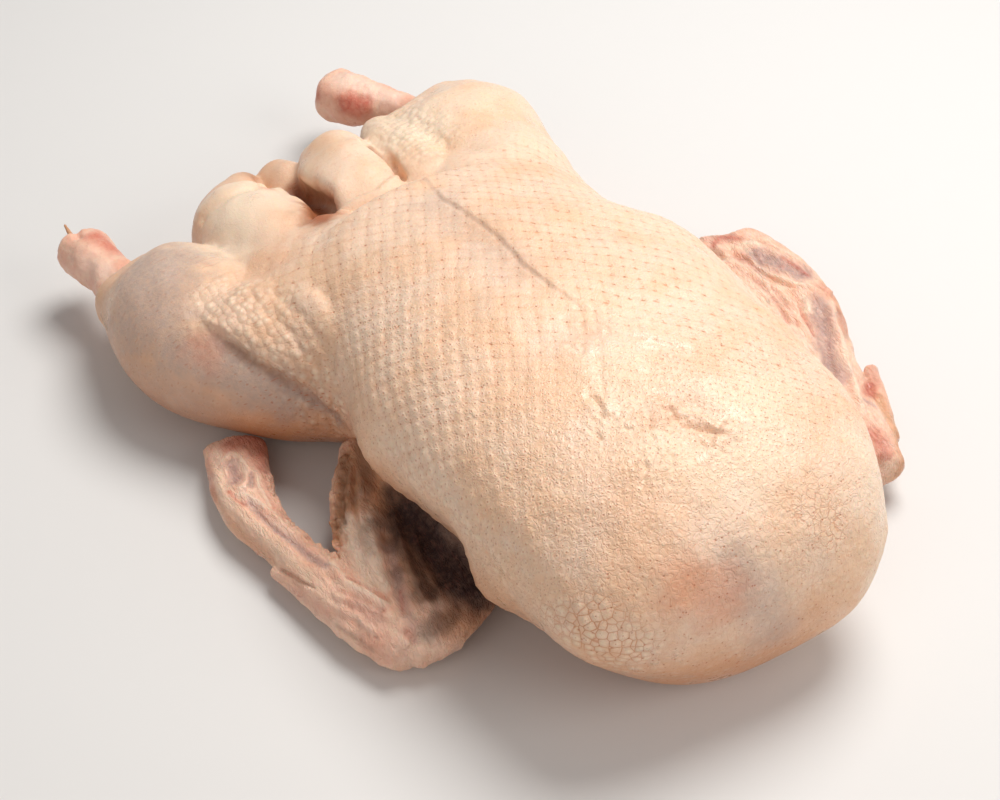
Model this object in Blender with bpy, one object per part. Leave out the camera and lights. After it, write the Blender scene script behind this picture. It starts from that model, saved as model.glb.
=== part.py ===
"""A whole raw goose, plucked and dressed, lying on its back with its breast up.

Frame: metres, +Z up, the flat resting spot under the back at Z = 0.
The neck end points to -Y, the tail to +Y, and the midline of the breast is X = 0.
The bird is one piece: every form below is a closed loft, and one voxel remesh joins them.
"""

import math

import bmesh
import bpy
from mathutils import Matrix, Vector

# One millimetre, for the tables that are written in millimetres.
MM = 0.001

# Driving dimensions: the neck end, the height of the widest level, and how deep the lofts
# reach below the table before they are cut off level.
BODY_FRONT = -0.183
BELT = 0.055
SUNK = -0.005

# The finished mesh.
VOXEL = 0.0026
SMOOTH_STEPS = 5
TRIANGLES = 10000
RING = 40

# The neck end is blunt: rows this far from it, and the length and power of its rounding.
NOSE_ROWS = (0.0005, 0.0025, 0.006, 0.011, 0.018, 0.027, 0.038, 0.051, 0.066)
NOSE_HALF_WIDTH = 0.0765
NOSE_WIDTH = (0.032, 2.5)
NOSE_TOP = (0.090, 2.3)
NOSE_UNDERSIDE = (0.050, 2.3)
# Shift to +X where the nose meets the breast, and at its very end.
NOSE_SHIFT = (-0.0025, 0.004)
# Stations of the breast behind the nose: distance along Y, half width, top, underside, shift
# to +X, in metres.
BREAST = (
    (-0.088, 0.0895, 0.1250, SUNK, -0.0025),
    (-0.050, 0.096, 0.1260, SUNK, 0.000),
    (-0.010, 0.095, 0.1245, SUNK, -0.001),
    (0.030, 0.090, 0.1190, SUNK, -0.003),
    (0.062, 0.082, 0.1130, 0.000, -0.006),
    (0.085, 0.077, 0.1070, 0.008, -0.009),
    (0.098, 0.068, 0.1030, 0.018, -0.011),
)

# Soft pushes that round the joined flesh, in millimetres: where, which way, and the reach
# over which each push fades.
PUSHES = (
    ((43, -177, 37), (3.2, -4.0, -1.8), 26),
    ((-36, 205, 50), (0.0, 3.0, 3.2), 13),
    ((-62, -163, 31), (2.6, 3.6, 4.4), 36),
    ((77, -160, 75), (-3.8, 2.2, -0.1), 18),
    ((80, -114, 95), (3.3, 0.0, 1.6), 26),
    ((-85, -100, 48), (-6.6, -0.6, -3.8), 18),
    ((-92, -71, 54), (2.8, 0.3, 1.6), 18),
    ((-95, -13, 55), (-7.5, -0.2, -3.9), 26),
    ((91, -30, 97), (-4.0, -0.2, -2.2), 36),
    ((89, -51, 101), (-3.7, -0.2, -2.0), 18),
    ((71, 44, 98), (-4.6, -1.4, -3.5), 18),
    ((72, 80, 86), (-3.0, 0.0, -1.5), 26),
    ((81, 168, 72), (3.4, 0.6, 1.8), 20),
    ((37, 208, 72), (0.6, -5.5, -4.5), 26),
    ((-147, 177, 56), (1.0, -6.1, -4.8), 18),
    ((-97, 38, 13), (5.0, 0.0, 2.5), 18),
    ((-150, 95, 20), (-1.2, -0.8, -1.5), 30),
)

# The wings lie flat. Joints are points, and the forearm, hand and thumb are rows of
# (x, y, z, half width, half height), the hand and thumb from the wrist out to the tip.
LEFT_WING = {
    "shoulder": (-0.060, -0.062, 0.028),
    "elbow": (-0.086, 0.017, 0.024),
    "wrist": (-0.118, -0.084, 0.014),
    "forearm": (
        (-0.086, 0.017, 0.024, 0.0160, 0.0120),
        (-0.101, -0.012, 0.0215, 0.0205, 0.0120),
        (-0.109, -0.040, 0.018, 0.0205, 0.0115),
        (-0.115, -0.066, 0.0155, 0.0170, 0.0115),
        (-0.119, -0.085, 0.014, 0.0150, 0.0120),
    ),
    "hand": (
        (-0.122, -0.085, 0.013, 0.0145, 0.0125),
        (-0.129, -0.064, 0.013, 0.0160, 0.0130),
        (-0.1355, -0.042, 0.013, 0.0142, 0.0120),
        (-0.1415, -0.021, 0.012, 0.0114, 0.0105),
        (-0.1450, -0.003, 0.012, 0.0106, 0.0100),
        (-0.1485, 0.018, 0.012, 0.0135, 0.0100),
        (-0.1455, 0.040, 0.012, 0.0150, 0.0090),
        (-0.1380, 0.0645, 0.011, 0.0155, 0.0070),
    ),
    "thumb": (
        (-0.1390, -0.059, 0.011, 0.0076, 0.0080),
        (-0.1465, -0.035, 0.011, 0.0056, 0.0060),
        (-0.1545, -0.015, 0.010, 0.0022, 0.0030),
    ),
}
RIGHT_WING = {
    "shoulder": (0.058, -0.080, 0.030),
    "elbow": (0.114, 0.040, 0.024),
    "wrist": (0.114, -0.104, 0.018),
    "forearm": (
        (0.114, 0.040, 0.024, 0.0180, 0.0120),
        (0.117, -0.005, 0.022, 0.0225, 0.0120),
        (0.116, -0.055, 0.020, 0.0200, 0.0120),
        (0.114, -0.104, 0.018, 0.0150, 0.0120),
    ),
    "hand": (
        (0.118, -0.106, 0.018, 0.0160, 0.0130),
        (0.1265, -0.082, 0.018, 0.0170, 0.0130),
        (0.1355, -0.056, 0.018, 0.0145, 0.0120),
        (0.1475, -0.030, 0.019, 0.0130, 0.0110),
        (0.1575, -0.006, 0.020, 0.0142, 0.0110),
        (0.1585, 0.020, 0.021, 0.0170, 0.0100),
        (0.1550, 0.042, 0.021, 0.0188, 0.0090),
        (0.1510, 0.059, 0.020, 0.0190, 0.0080),
    ),
    "thumb": (
        (0.1350, -0.092, 0.018, 0.0080, 0.0080),
        (0.1470, -0.071, 0.018, 0.0065, 0.0065),
        (0.1580, -0.0530, 0.019, 0.0035, 0.0040),
    ),
}


def share(a, b, t):
    return a + (b - a) * t


def between(a, b, t):
    return tuple(share(p, q, t) for p, q in zip(a, b))


def smooth_rows(rows, steps):
    """Catmull-Rom through rows of numbers, with the given steps between two rows."""
    out = []
    count = len(rows)
    for i in range(count - 1):
        before = rows[max(i - 1, 0)]
        after = rows[min(i + 2, count - 1)]
        for k in range(steps):
            t = k / steps
            out.append([
                0.5 * (2 * b + (c - a) * t + (2 * a - 5 * b + 4 * c - d) * t * t
                       + (3 * b - a - 3 * c + d) * t ** 3)
                for a, b, c, d in zip(before, rows[i], rows[i + 1], after)
            ])
    out.append(list(rows[-1]))
    return out


def loft(name, rows, steps=5, square=2.0, caps=(0.6, 0.6), ring=RING, egg=0.0,
         facing=None):
    """A closed tube through rows of (x, y, z, half width, half height, tilt in degrees).

    The width lies level and the height stands up until tilt turns them about the path.
    Each end is closed by a dome as long as the given share of the end's half height.
    The section is an ellipse, squarer above 2.0, and egg narrows it towards the bottom.
    Rings stand square to the path, or square to facing where that is given.
    """
    path = smooth_rows(rows, steps)
    centres = [Vector(row[:3]) for row in path]
    stations = []
    for i, row in enumerate(path):
        ahead = centres[min(i + 1, len(path) - 1)] - centres[max(i - 1, 0)]
        ahead = facing if facing else ahead.normalized()
        stations.append((centres[i], ahead, row[3], row[4], row[5]))
    domed = []
    dome_rings = 5
    for k in range(dome_rings, 0, -1):
        angle = math.pi / 2 * k / (dome_rings + 0.6)
        centre, ahead, width, height, tilt = stations[0]
        back = centre - ahead * (caps[0] * min(width, height) * math.sin(angle))
        domed.append((back, ahead, width * math.cos(angle), height * math.cos(angle), tilt))
    domed += stations
    for k in range(1, dome_rings + 1):
        angle = math.pi / 2 * k / (dome_rings + 0.6)
        centre, ahead, width, height, tilt = stations[-1]
        front = centre + ahead * (caps[1] * min(width, height) * math.sin(angle))
        domed.append((front, ahead, width * math.cos(angle), height * math.cos(angle), tilt))
    mesh = bmesh.new()
    rings = []
    for centre, ahead, width, height, tilt in domed:
        side = ahead.cross(Vector((0, 0, 1)))
        side = side.normalized() if side.length > 1e-4 else Vector((1, 0, 0))
        up = side.cross(ahead)
        turn = Matrix.Rotation(math.radians(tilt), 3, ahead)
        side = turn @ side
        up = turn @ up
        verts = []
        for k in range(ring):
            angle = 2 * math.pi * k / ring
            across, above = math.cos(angle), math.sin(angle)
            across = math.copysign(abs(across) ** (2 / square), across)
            above = math.copysign(abs(above) ** (2 / square), above)
            across *= 1 + egg * above
            verts.append(mesh.verts.new(centre + side * width * across + up * height * above))
        rings.append(verts)
    for a, b in zip(rings, rings[1:]):
        for k in range(ring):
            mesh.faces.new((a[k], a[(k + 1) % ring], b[(k + 1) % ring], b[k]))
    mesh.faces.new(rings[0][::-1])
    mesh.faces.new(rings[-1])
    bmesh.ops.recalc_face_normals(mesh, faces=mesh.faces)
    data = bpy.data.meshes.new(name)
    mesh.to_mesh(data)
    mesh.free()
    obj = bpy.data.objects.new(name, data)
    bpy.context.scene.collection.objects.link(obj)
    return obj


def blunt(distance, length, power):
    """Share of full size at a distance behind a rounded end."""
    t = 1 - min(distance / length, 1)
    return (1 - t ** power) ** (1 / power)


def breast():
    rows = []
    _, full_width, full_top, full_underside, _ = BREAST[0]
    for behind in NOSE_ROWS:
        taper = share(NOSE_HALF_WIDTH, full_width, behind / (BREAST[0][0] - BODY_FRONT))
        width = taper * blunt(behind, *NOSE_WIDTH)
        top = share(BELT, full_top, blunt(behind, *NOSE_TOP))
        underside = share(BELT, full_underside, blunt(behind, *NOSE_UNDERSIDE))
        shift = share(*NOSE_SHIFT, 1 - blunt(behind, *NOSE_TOP))
        middle = (top + underside) / 2
        rows.append((shift, BODY_FRONT + behind, middle, width, top - middle, 0))
    for y, width, top, underside, shift in BREAST:
        middle = (top + underside) / 2
        rows.append((shift, y, middle, width, top - middle, 0))
    facing = Vector((0, 1, 0))
    return [loft("breast", rows, square=2.1, caps=(0.05, 0.3), ring=72, egg=0.22, facing=facing)]


def back_and_tail():
    pelvis = [
        (0.000, 0.000, 0.042, 0.078, 0.047, 0),
        (0.000, 0.080, 0.042, 0.074, 0.047, 0),
        (-0.008, 0.140, 0.034, 0.078, 0.039, 0),
        (-0.014, 0.178, 0.028, 0.066, 0.030, 0),
    ]
    belly_lobe = [
        (-0.018, 0.090, 0.042, 0.030, 0.032, 0),
        (-0.023, 0.145, 0.050, 0.026, 0.034, 0),
        (-0.018, 0.185, 0.047, 0.022, 0.028, 0),
    ]
    tail_lobe = [
        (-0.036, 0.130, 0.030, 0.030, 0.020, 0),
        (-0.038, 0.192, 0.030, 0.020, 0.019, 0),
        (-0.042, 0.214, 0.032, 0.013, 0.014, 0),
    ]
    left_mound = [
        (-0.066, 0.090, 0.042, 0.035, 0.040, 0),
        (-0.076, 0.140, 0.042, 0.031, 0.036, 0),
        (-0.079, 0.178, 0.038, 0.027, 0.031, 0),
    ]
    left_tail = [
        (-0.074, 0.150, 0.031, 0.034, 0.030, 0),
        (-0.073, 0.195, 0.029, 0.027, 0.026, 0),
        (-0.062, 0.214, 0.031, 0.013, 0.017, 0),
    ]
    return [
        loft("pelvis", pelvis),
        loft("belly_lobe", belly_lobe, caps=(0.6, 0.9)),
        loft("tail_lobe", tail_lobe, caps=(0.6, 0.9)),
        loft("left_mound", left_mound, caps=(0.6, 0.8)),
        loft("left_tail", left_tail, caps=(0.6, 0.8)),
    ]


def left_leg():
    drumstick = [
        (-0.074, 0.036, 0.034, 0.022, 0.030, 0),
        (-0.096, 0.072, 0.036, 0.037, 0.034, 0),
        (-0.122, 0.118, 0.037, 0.045, 0.037, 0),
        (-0.135, 0.150, 0.036, 0.037, 0.033, 0),
        (-0.144, 0.170, 0.034, 0.024, 0.024, 0),
    ]
    flank = [
        (-0.050, -0.030, 0.074, 0.040, 0.022, -22),
        (-0.056, 0.020, 0.076, 0.042, 0.022, -25),
        (-0.062, 0.055, 0.076, 0.044, 0.020, -24),
        (-0.074, 0.086, 0.070, 0.046, 0.020, -18),
        (-0.080, 0.112, 0.059, 0.042, 0.021, -14),
        (-0.088, 0.140, 0.047, 0.036, 0.022, -8),
    ]
    # The skin flap over the drumstick: its outer edge hangs free of the flesh below.
    flap = [
        (-0.1040, 0.124, 0.0600, 0.016, 0.0045, 8),
        (-0.1080, 0.102, 0.0695, 0.019, 0.0048, 10),
        (-0.1070, 0.091, 0.0725, 0.019, 0.0050, 15),
        (-0.1030, 0.076, 0.0730, 0.019, 0.0052, 25),
        (-0.0985, 0.063, 0.0745, 0.018, 0.0055, 42),
        (-0.0945, 0.050, 0.0740, 0.017, 0.0055, 58),
        (-0.0925, 0.041, 0.0710, 0.017, 0.0055, 68),
        (-0.0915, 0.030, 0.0610, 0.016, 0.0050, 75),
        (-0.0905, 0.016, 0.0500, 0.014, 0.0045, 80),
    ]
    shank = [
        (-0.145, 0.166, 0.035, 0.014, 0.014, 0),
        (-0.150, 0.186, 0.035, 0.0120, 0.012, 0),
        (-0.153, 0.206, 0.034, 0.0145, 0.013, 0),
        (-0.155, 0.217, 0.034, 0.0135, 0.011, 0),
    ]
    sliver = [
        (-0.158, 0.207, 0.034, 0.0030, 0.0030, 0),
        (-0.161, 0.226, 0.036, 0.0022, 0.0022, 0),
    ]
    return [
        loft("left_drumstick", drumstick, caps=(0.6, 0.6)),
        loft("flank_fold", flank),
        loft("skin_flap", flap, square=3.2),
        loft("left_shank", shank, caps=(0.4, 0.35)),
        loft("tendon_sliver", sliver, caps=(0.6, 1.5), ring=16),
    ]


def right_leg():
    thigh = [
        (0.040, 0.060, 0.050, 0.038, 0.044, 0),
        (0.045, 0.110, 0.050, 0.039, 0.044, 0),
        (0.047, 0.150, 0.048, 0.043, 0.040, 0),
        (0.046, 0.180, 0.047, 0.044, 0.037, 0),
        (0.040, 0.200, 0.045, 0.039, 0.030, 0),
    ]
    flank = [
        (0.042, -0.010, 0.078, 0.040, 0.022, 16),
        (0.040, 0.050, 0.080, 0.040, 0.022, 16),
        (0.038, 0.095, 0.076, 0.040, 0.020, 10),
        (0.041, 0.130, 0.066, 0.040, 0.018, 6),
        (0.044, 0.155, 0.056, 0.036, 0.018, 4),
    ]
    thigh_corner = [
        (0.010, 0.125, 0.067, 0.020, 0.020, 0),
        (0.014, 0.160, 0.062, 0.018, 0.018, 0),
        (0.017, 0.188, 0.056, 0.017, 0.016, 0),
        (0.019, 0.205, 0.051, 0.014, 0.013, 0),
    ]
    shank = [
        (0.055, 0.206, 0.040, 0.0130, 0.0130, 0),
        (0.043, 0.232, 0.0395, 0.0100, 0.0100, 0),
        (0.0275, 0.255, 0.0365, 0.0145, 0.0145, 0),
        (0.0215, 0.268, 0.0345, 0.0150, 0.0150, 0),
    ]
    return [
        loft("right_thigh", thigh, caps=(0.6, 0.6)),
        loft("thigh_corner", thigh_corner),
        loft("right_flank", flank),
        loft("right_shank", shank, caps=(0.4, 0.7)),
    ]


def wing(side, joints):
    """One wing lying flat: upper arm, web of skin, forearm, hand and thumb."""
    shoulder, elbow, wrist = joints["shoulder"], joints["elbow"], joints["wrist"]
    upper_arm = [
        (*shoulder, 0.028, 0.020, 0),
        (*between(shoulder, elbow, 0.5), 0.026, 0.018, 0),
        (*elbow, 0.018, 0.015, 0),
    ]
    web = [
        (*between(shoulder, wrist, 0.10), 0.014, 0.012, 0),
        (*between(shoulder, wrist, 0.55), 0.020, 0.010, 0),
        (*between(shoulder, wrist, 0.95), 0.018, 0.010, 0),
    ]
    armpit = between(shoulder, wrist, 0.6)
    fold = [
        (*between(armpit, elbow, 0.10), 0.022, 0.011, 0),
        (*between(armpit, elbow, 0.80), 0.016, 0.011, 0),
    ]
    forearm = [(*row, 0) for row in joints["forearm"]]
    hand = [(*row, 0) for row in joints["hand"]]
    thumb = [(*row, 0) for row in joints["thumb"]]
    return [
        loft(side + "_upper_arm", upper_arm),
        loft(side + "_web", web),
        loft(side + "_fold", fold),
        loft(side + "_forearm", forearm),
        loft(side + "_hand", hand),
        loft(side + "_thumb", thumb, ring=20),
    ]


def skin_material():
    material = bpy.data.materials.new("goose_skin")
    material.use_nodes = True
    shader = material.node_tree.nodes["Principled BSDF"]
    shader.inputs["Base Color"].default_value = (0.83, 0.66, 0.50, 1)
    shader.inputs["Roughness"].default_value = 0.45
    shader.inputs["Metallic"].default_value = 0.0
    return material


def pushed(data):
    """The mesh with its vertices moved by the soft pushes."""
    for vertex in data.vertices:
        start = vertex.co.copy()
        for where, way, reach in PUSHES:
            far = (start - Vector(where) * MM).length / (reach * MM)
            vertex.co += Vector(way) * MM * math.exp(-far * far)
    return data


def fused(pieces):
    """One object from the overlapping lofts: joined, remeshed, smoothed and pushed round."""
    mesh = bmesh.new()
    for piece in pieces:
        mesh.from_mesh(piece.data)
        bpy.data.objects.remove(piece)
    data = bpy.data.meshes.new("lofts")
    mesh.to_mesh(data)
    mesh.free()
    body = bpy.data.objects.new("body", data)
    bpy.context.scene.collection.objects.link(body)
    remesh = body.modifiers.new("fuse", "REMESH")
    remesh.mode = "VOXEL"
    remesh.voxel_size = VOXEL
    soften = body.modifiers.new("soften", "SMOOTH")
    soften.factor = 0.5
    soften.iterations = SMOOTH_STEPS
    flesh = bpy.data.objects.new("flesh", pushed(evaluated(body)))
    bpy.context.scene.collection.objects.link(flesh)
    bpy.data.objects.remove(body)
    return flesh


def evaluated(obj):
    """A plain mesh of the object with its modifiers worked in."""
    graph = bpy.context.evaluated_depsgraph_get()
    return bpy.data.meshes.new_from_object(obj.evaluated_get(graph))


def main():
    for obj in list(bpy.data.objects):
        bpy.data.objects.remove(obj)
    pieces = breast() + back_and_tail() + left_leg() + right_leg()
    pieces += wing("left", LEFT_WING) + wing("right", RIGHT_WING)
    body = fused(pieces)
    body.data.calc_loop_triangles()
    thin = body.modifiers.new("thin", "DECIMATE")
    thin.ratio = TRIANGLES / len(body.data.loop_triangles)

    # The resting spot: everything below the table is cut away level.
    bpy.ops.mesh.primitive_cube_add(size=1, location=(0, 0, -0.5))
    table = bpy.context.object
    cut = body.modifiers.new("resting_spot", "BOOLEAN")
    cut.object = table
    cut.operation = "DIFFERENCE"
    cut.solver = "EXACT"
    goose = bpy.data.objects.new("goose", evaluated(body))
    goose.data.name = "goose"
    goose.data.materials.clear()
    goose.data.materials.append(skin_material())
    goose.data.shade_smooth()
    goose.data.set_sharp_from_angle(angle=math.radians(35))
    bpy.context.scene.collection.objects.link(goose)
    bpy.data.objects.remove(body)
    bpy.data.objects.remove(table)


main()
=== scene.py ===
import math

import bmesh
import bpy
import numpy as np
from mathutils import Matrix, Vector


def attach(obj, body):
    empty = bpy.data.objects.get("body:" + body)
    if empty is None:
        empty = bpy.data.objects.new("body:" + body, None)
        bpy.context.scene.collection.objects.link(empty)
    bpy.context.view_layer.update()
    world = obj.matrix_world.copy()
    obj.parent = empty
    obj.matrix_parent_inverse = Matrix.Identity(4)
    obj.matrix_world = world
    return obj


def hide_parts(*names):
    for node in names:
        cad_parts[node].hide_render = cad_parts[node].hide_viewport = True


# Whole raw goose, plucked and dressed, lying breast up. +Z up, neck end to -Y, tail to +Y.
# Tables give places and sizes in millimetres and angles in degrees, where no note says otherwise.
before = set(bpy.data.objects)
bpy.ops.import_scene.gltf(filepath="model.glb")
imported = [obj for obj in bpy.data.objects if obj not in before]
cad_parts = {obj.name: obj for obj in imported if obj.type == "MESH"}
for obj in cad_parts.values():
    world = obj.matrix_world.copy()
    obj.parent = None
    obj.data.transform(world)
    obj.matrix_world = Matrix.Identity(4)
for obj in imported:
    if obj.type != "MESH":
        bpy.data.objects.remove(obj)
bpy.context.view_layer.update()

mm = 0.001


def tone(red, green, blue):
    # linear colour of a swatch on the 0-255 scale
    return tuple(((v / 255 + 0.055) / 1.055) ** 2.4 for v in (red, green, blue)) + (1,)


def smoothRows(rows, steps):
    # Catmull-Rom through rows of numbers
    out = []
    count = len(rows)
    for i in range(count - 1):
        before, after = rows[max(i - 1, 0)], rows[min(i + 2, count - 1)]
        for k in range(steps):
            t = k / steps
            out.append([
                0.5 * (2 * b + (c - a) * t + (2 * a - 5 * b + 4 * c - d) * t * t
                       + (3 * b - a - 3 * c + d) * t ** 3)
                for a, b, c, d in zip(before, rows[i], rows[i + 1], after)])
    out.append(list(rows[-1]))
    return out


def capRings(station, bulge, way, count=6):
    # shrinking stations that round off one end of a loft; way is 1 past its end and -1 before its start
    centre, ahead, width, height, tilt = station
    rings = []
    for k in range(1, count + 1):
        angle = math.pi / 2 * k / (count + 0.6)
        past = centre + ahead * (way * bulge * min(width, height) * math.sin(angle))
        rings.append((past, ahead, width * math.cos(angle), height * math.cos(angle), tilt))
    return rings


def loft(mesh, rows, steps=6, square=2.0, caps=(0.6, 0.6), ring=56, egg=0.0, facing=None):
    # closed tube into mesh, through rows of x, y, z, half width, half height and, where it leans, tilt
    path = smoothRows([[v / 1000 for v in row[:5]] + list(row[5:]) for row in rows], steps)
    centres = [Vector(row[:3]) for row in path]
    stations = []
    for i, row in enumerate(path):
        ahead = centres[min(i + 1, len(path) - 1)] - centres[max(i - 1, 0)]
        width, height, *tilt = row[3:]
        stations.append((centres[i], facing or ahead.normalized(), width, height, *(tilt or [0])))
    first, last = capRings(stations[0], caps[0], -1), capRings(stations[-1], caps[1], 1)
    rings = []
    for centre, ahead, width, height, tilt in first[::-1] + stations + last:
        side = ahead.cross(Vector((0, 0, 1))).normalized()
        turn = Matrix.Rotation(math.radians(tilt), 3, ahead)
        up = turn @ side.cross(ahead)
        side = turn @ side
        verts = []
        for k in range(ring):
            angle = 2 * math.pi * k / ring
            across, above = (math.copysign(abs(v) ** (2 / square), v)
                             for v in (math.cos(angle), math.sin(angle)))
            across *= 1 + egg * above
            verts.append(mesh.verts.new(centre + side * width * across + up * height * above))
        rings.append(verts)
    faces = [mesh.faces.new((a[k], a[(k + 1) % ring], b[(k + 1) % ring], b[k]))
             for a, b in zip(rings, rings[1:]) for k in range(ring)]
    faces += [mesh.faces.new(rings[0][::-1]), mesh.faces.new(rings[-1])]
    bmesh.ops.recalc_face_normals(mesh, faces=faces)


def newObject(name, data):
    obj = bpy.data.objects.new(name, data)
    bpy.context.scene.collection.objects.link(obj)
    return obj


def evaluated(obj):
    return bpy.data.meshes.new_from_object(obj.evaluated_get(bpy.context.evaluated_depsgraph_get()))


def fuse(name, mesh, voxel, smoothing):
    # overlapping closed forms become one closed skin
    data = bpy.data.meshes.new(name)
    mesh.to_mesh(data)
    mesh.free()
    rough = newObject(name, data)
    remesh = rough.modifiers.new("fuse", "REMESH")
    remesh.mode = "VOXEL"
    remesh.voxel_size = voxel / 1000
    soften = rough.modifiers.new("soften", "SMOOTH")
    soften.factor = 0.5
    soften.iterations = smoothing
    piece = newObject(name, evaluated(rough))
    bpy.data.objects.remove(rough)
    piece.name = name
    piece.data.name = name
    piece.data.materials.clear()
    piece.data.shade_smooth()
    return piece


def perVertex(piece, field):
    values = np.empty(len(piece.data.vertices) * 3)
    piece.data.vertices.foreach_get(field, values)
    return values.reshape(-1, 3)


def coordsOf(piece):
    return perVertex(piece, "co")


def place(piece, coords):
    coords = coords.copy()
    coords[:, 2] = np.maximum(coords[:, 2], 0)   # nothing goes below the table
    piece.data.vertices.foreach_set("co", coords.ravel())
    piece.data.update()


def store(piece, name, *columns):
    # keeps one, three or four numbers per vertex as an attribute that the node trees read
    kinds = {1: ("FLOAT", "value"), 3: ("FLOAT_VECTOR", "vector"), 4: ("FLOAT_COLOR", "color")}
    kind, field = kinds[len(columns)]
    layer = piece.data.attributes.new(name, kind, "POINT")
    layer.data.foreach_set(field, np.ascontiguousarray(np.stack(columns, 1), dtype=np.float32).ravel())


def ramp(values, low, high):
    t = np.clip((values - low) / (high - low), 0, 1)
    return t * t * (3 - 2 * t)


def zone(coords, *limits):
    # 1 inside soft limits, 0 outside; a limit is an axis with its sign, where it starts and where it is full
    share = np.ones(len(coords))
    for axis, low, high in limits:
        along = coords[:, "xyz".index(axis[-1])] * (-1 if axis[0] == "-" else 1)
        share = share * ramp(along, low / 1000, high / 1000)
    return share


def bell(far, width):
    return np.exp(-(far / width) ** 2)


def ripple(coords, size, seed, waves=10):
    # smooth noise about -1..1, features about size metres across
    rng = np.random.default_rng(seed)
    total = np.zeros(len(coords))
    for _ in range(waves):
        direction = rng.normal(size=3)
        direction /= np.linalg.norm(direction)
        length = size * rng.uniform(0.7, 1.5)
        total += np.sin(coords @ direction * 2 * math.pi / length + rng.uniform(0, 6.3))
    return total / math.sqrt(waves)


def settle(coords, points):
    # the same points, each moved to the nearest spot of the surface
    return [tuple(coords[np.argmin(((coords - np.array(point) * mm) ** 2).sum(1))] / mm) for point in points]


def lineDistance(coords, points):
    # metres to a line through points, the share of its length, and the level distance beside it
    line = np.array(points, float) * mm
    if len(line) == 1:
        return np.linalg.norm(coords - line[0], axis=1), np.full(len(coords), 0.5), np.zeros(len(coords))
    best = np.full(len(coords), 1e9)
    where = np.zeros(len(coords))
    beside = np.ones(len(coords))
    lengths = np.linalg.norm(np.diff(line, axis=0), axis=1)
    starts = np.concatenate(([0], np.cumsum(lengths)))
    for a, b, length, start in zip(line, line[1:], lengths, starts):
        along = (b - a) / length
        t = np.clip((coords - a) @ along, 0, length)
        offset = coords - (a + t[:, None] * along)
        far = np.linalg.norm(offset, axis=1)
        near = far < best
        best[near] = far[near]
        where[near] = ((start + t) / starts[-1])[near]
        across = np.cross(along, (0, 0, 1.0))
        beside[near] = (offset @ (across / np.linalg.norm(across)))[near]
    return best, where, beside


def press(rise, coords, points, depth, width, ends, rim):
    # takes a crease off rise, or adds a cord where depth is negative; rim: its share, place and width
    far, where, _ = lineDistance(coords, points)
    fade = ramp(where, *ends) * ramp(1 - where, *ends) if ends else 1
    rise -= depth * mm * fade * bell(far, width * mm)
    rise += rim[0] * depth * mm * fade * bell(far - rim[1] * width * mm, rim[2] * width * mm)


def spots(coords, rows, seed, wobble=0.35, least=0.82):
    # rows of amount, radius and points: soft patches with uneven borders, 0..1
    uneven = 1 + wobble * ripple(coords, 0.014, seed) * 0.6 + wobble * ripple(coords, 0.006, seed + 7) * 0.3
    uneven = np.maximum(uneven, least)
    total = np.zeros(len(coords))
    for amount, radius, points in rows:
        far = lineDistance(coords, settle(coords, points))[0] / (radius * mm)
        total = np.maximum(total, amount * np.exp(-np.maximum(far * uneven, 0) ** (2 if radius < 3 else 3)))
    return np.clip(total, 0, 1)


def stainAndShading(piece, patches, seed):
    # four masks in one colour attribute, which the materials mix into the skin: stains, with painted shade in
    # the grey and brown and painted light in the pale; and one of skin over flesh
    coords = coordsOf(piece)
    kinds = ("red", "grey", "brownAndShade", "pale", "skinned")
    *masks, skinned = (spots(coords, patches.get(kind, ()), seed + 20 * k) for k, kind in enumerate(kinds))
    store(piece, "stainAndShading", *masks)
    store(piece, "skinned", skinned)


def fill(node, inputs):
    for key, value in inputs.items():
        if isinstance(value, bpy.types.NodeSocket):
            node.id_data.links.new(value, node.inputs[key])
        else:
            node.inputs[key].default_value = value


def addNode(tree, kind, inputs, **settings):
    node = tree.nodes.new(kind)
    for key, value in settings.items():
        setattr(node, key, value)
    fill(node, inputs)
    return node.outputs


def follow(kind, inputs, **settings):
    # a node in the tree of the sockets that feed it
    tree = next(value.id_data for value in inputs.values() if isinstance(value, bpy.types.NodeSocket))
    return addNode(tree, kind, inputs, **settings)


def calc(operation, *values, clamp=False):
    return follow("ShaderNodeMath", dict(enumerate(values)), operation=operation, use_clamp=clamp)[0]


def times(first, *others):
    for other in others:
        first = calc("MULTIPLY", first, other)
    return first


def plus(first, second):
    return calc("ADD", first, second)


def minus(first, second):
    return calc("SUBTRACT", first, second)


def larger(first, second):
    return calc("MAXIMUM", first, second)


def vectorCalc(operation, *values):
    return follow("ShaderNodeVectorMath", dict(enumerate(values)), operation=operation)["Vector"]


def scaled(vector, factor):
    return follow("ShaderNodeVectorMath", {0: vector, 3: factor}, operation="SCALE")["Vector"]


def remap(value, fromLow, fromHigh, toLow=0.0, toHigh=1.0, way="SMOOTHSTEP"):
    return follow("ShaderNodeMapRange", dict(enumerate((value, fromLow, fromHigh, toLow, toHigh))),
                  interpolation_type=way)[0]


def dying(value, start, end):
    return remap(value, start, end, 1.0, 0.0)


def blend(factor, first, second):
    return follow("ShaderNodeMix", {0: factor, 2: first, 3: second})[0]


def colourMix(factor, first, second):
    return follow("ShaderNodeMix", {0: factor, 6: first, 7: second}, data_type="RGBA")[2]


def noise(vector, scale, detail=2.0, roughness=0.5, distortion=0.0, output=0):
    return follow("ShaderNodeTexNoise", {"Vector": vector, "Scale": scale, "Detail": detail,
                                         "Roughness": roughness, "Distortion": distortion})[output]


def cells(vector, scale, randomness=1.0, feature="F1", **settings):
    return follow("ShaderNodeTexVoronoi", {"Vector": vector, "Scale": scale, "Randomness": randomness},
                  feature=feature, **settings)["Distance"]


def parts(vector):
    return follow("ShaderNodeSeparateXYZ", {0: vector})


def readAttribute(tree, name, output="Vector"):
    return addNode(tree, "ShaderNodeAttribute", {}, attribute_name=name)[output]


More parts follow.
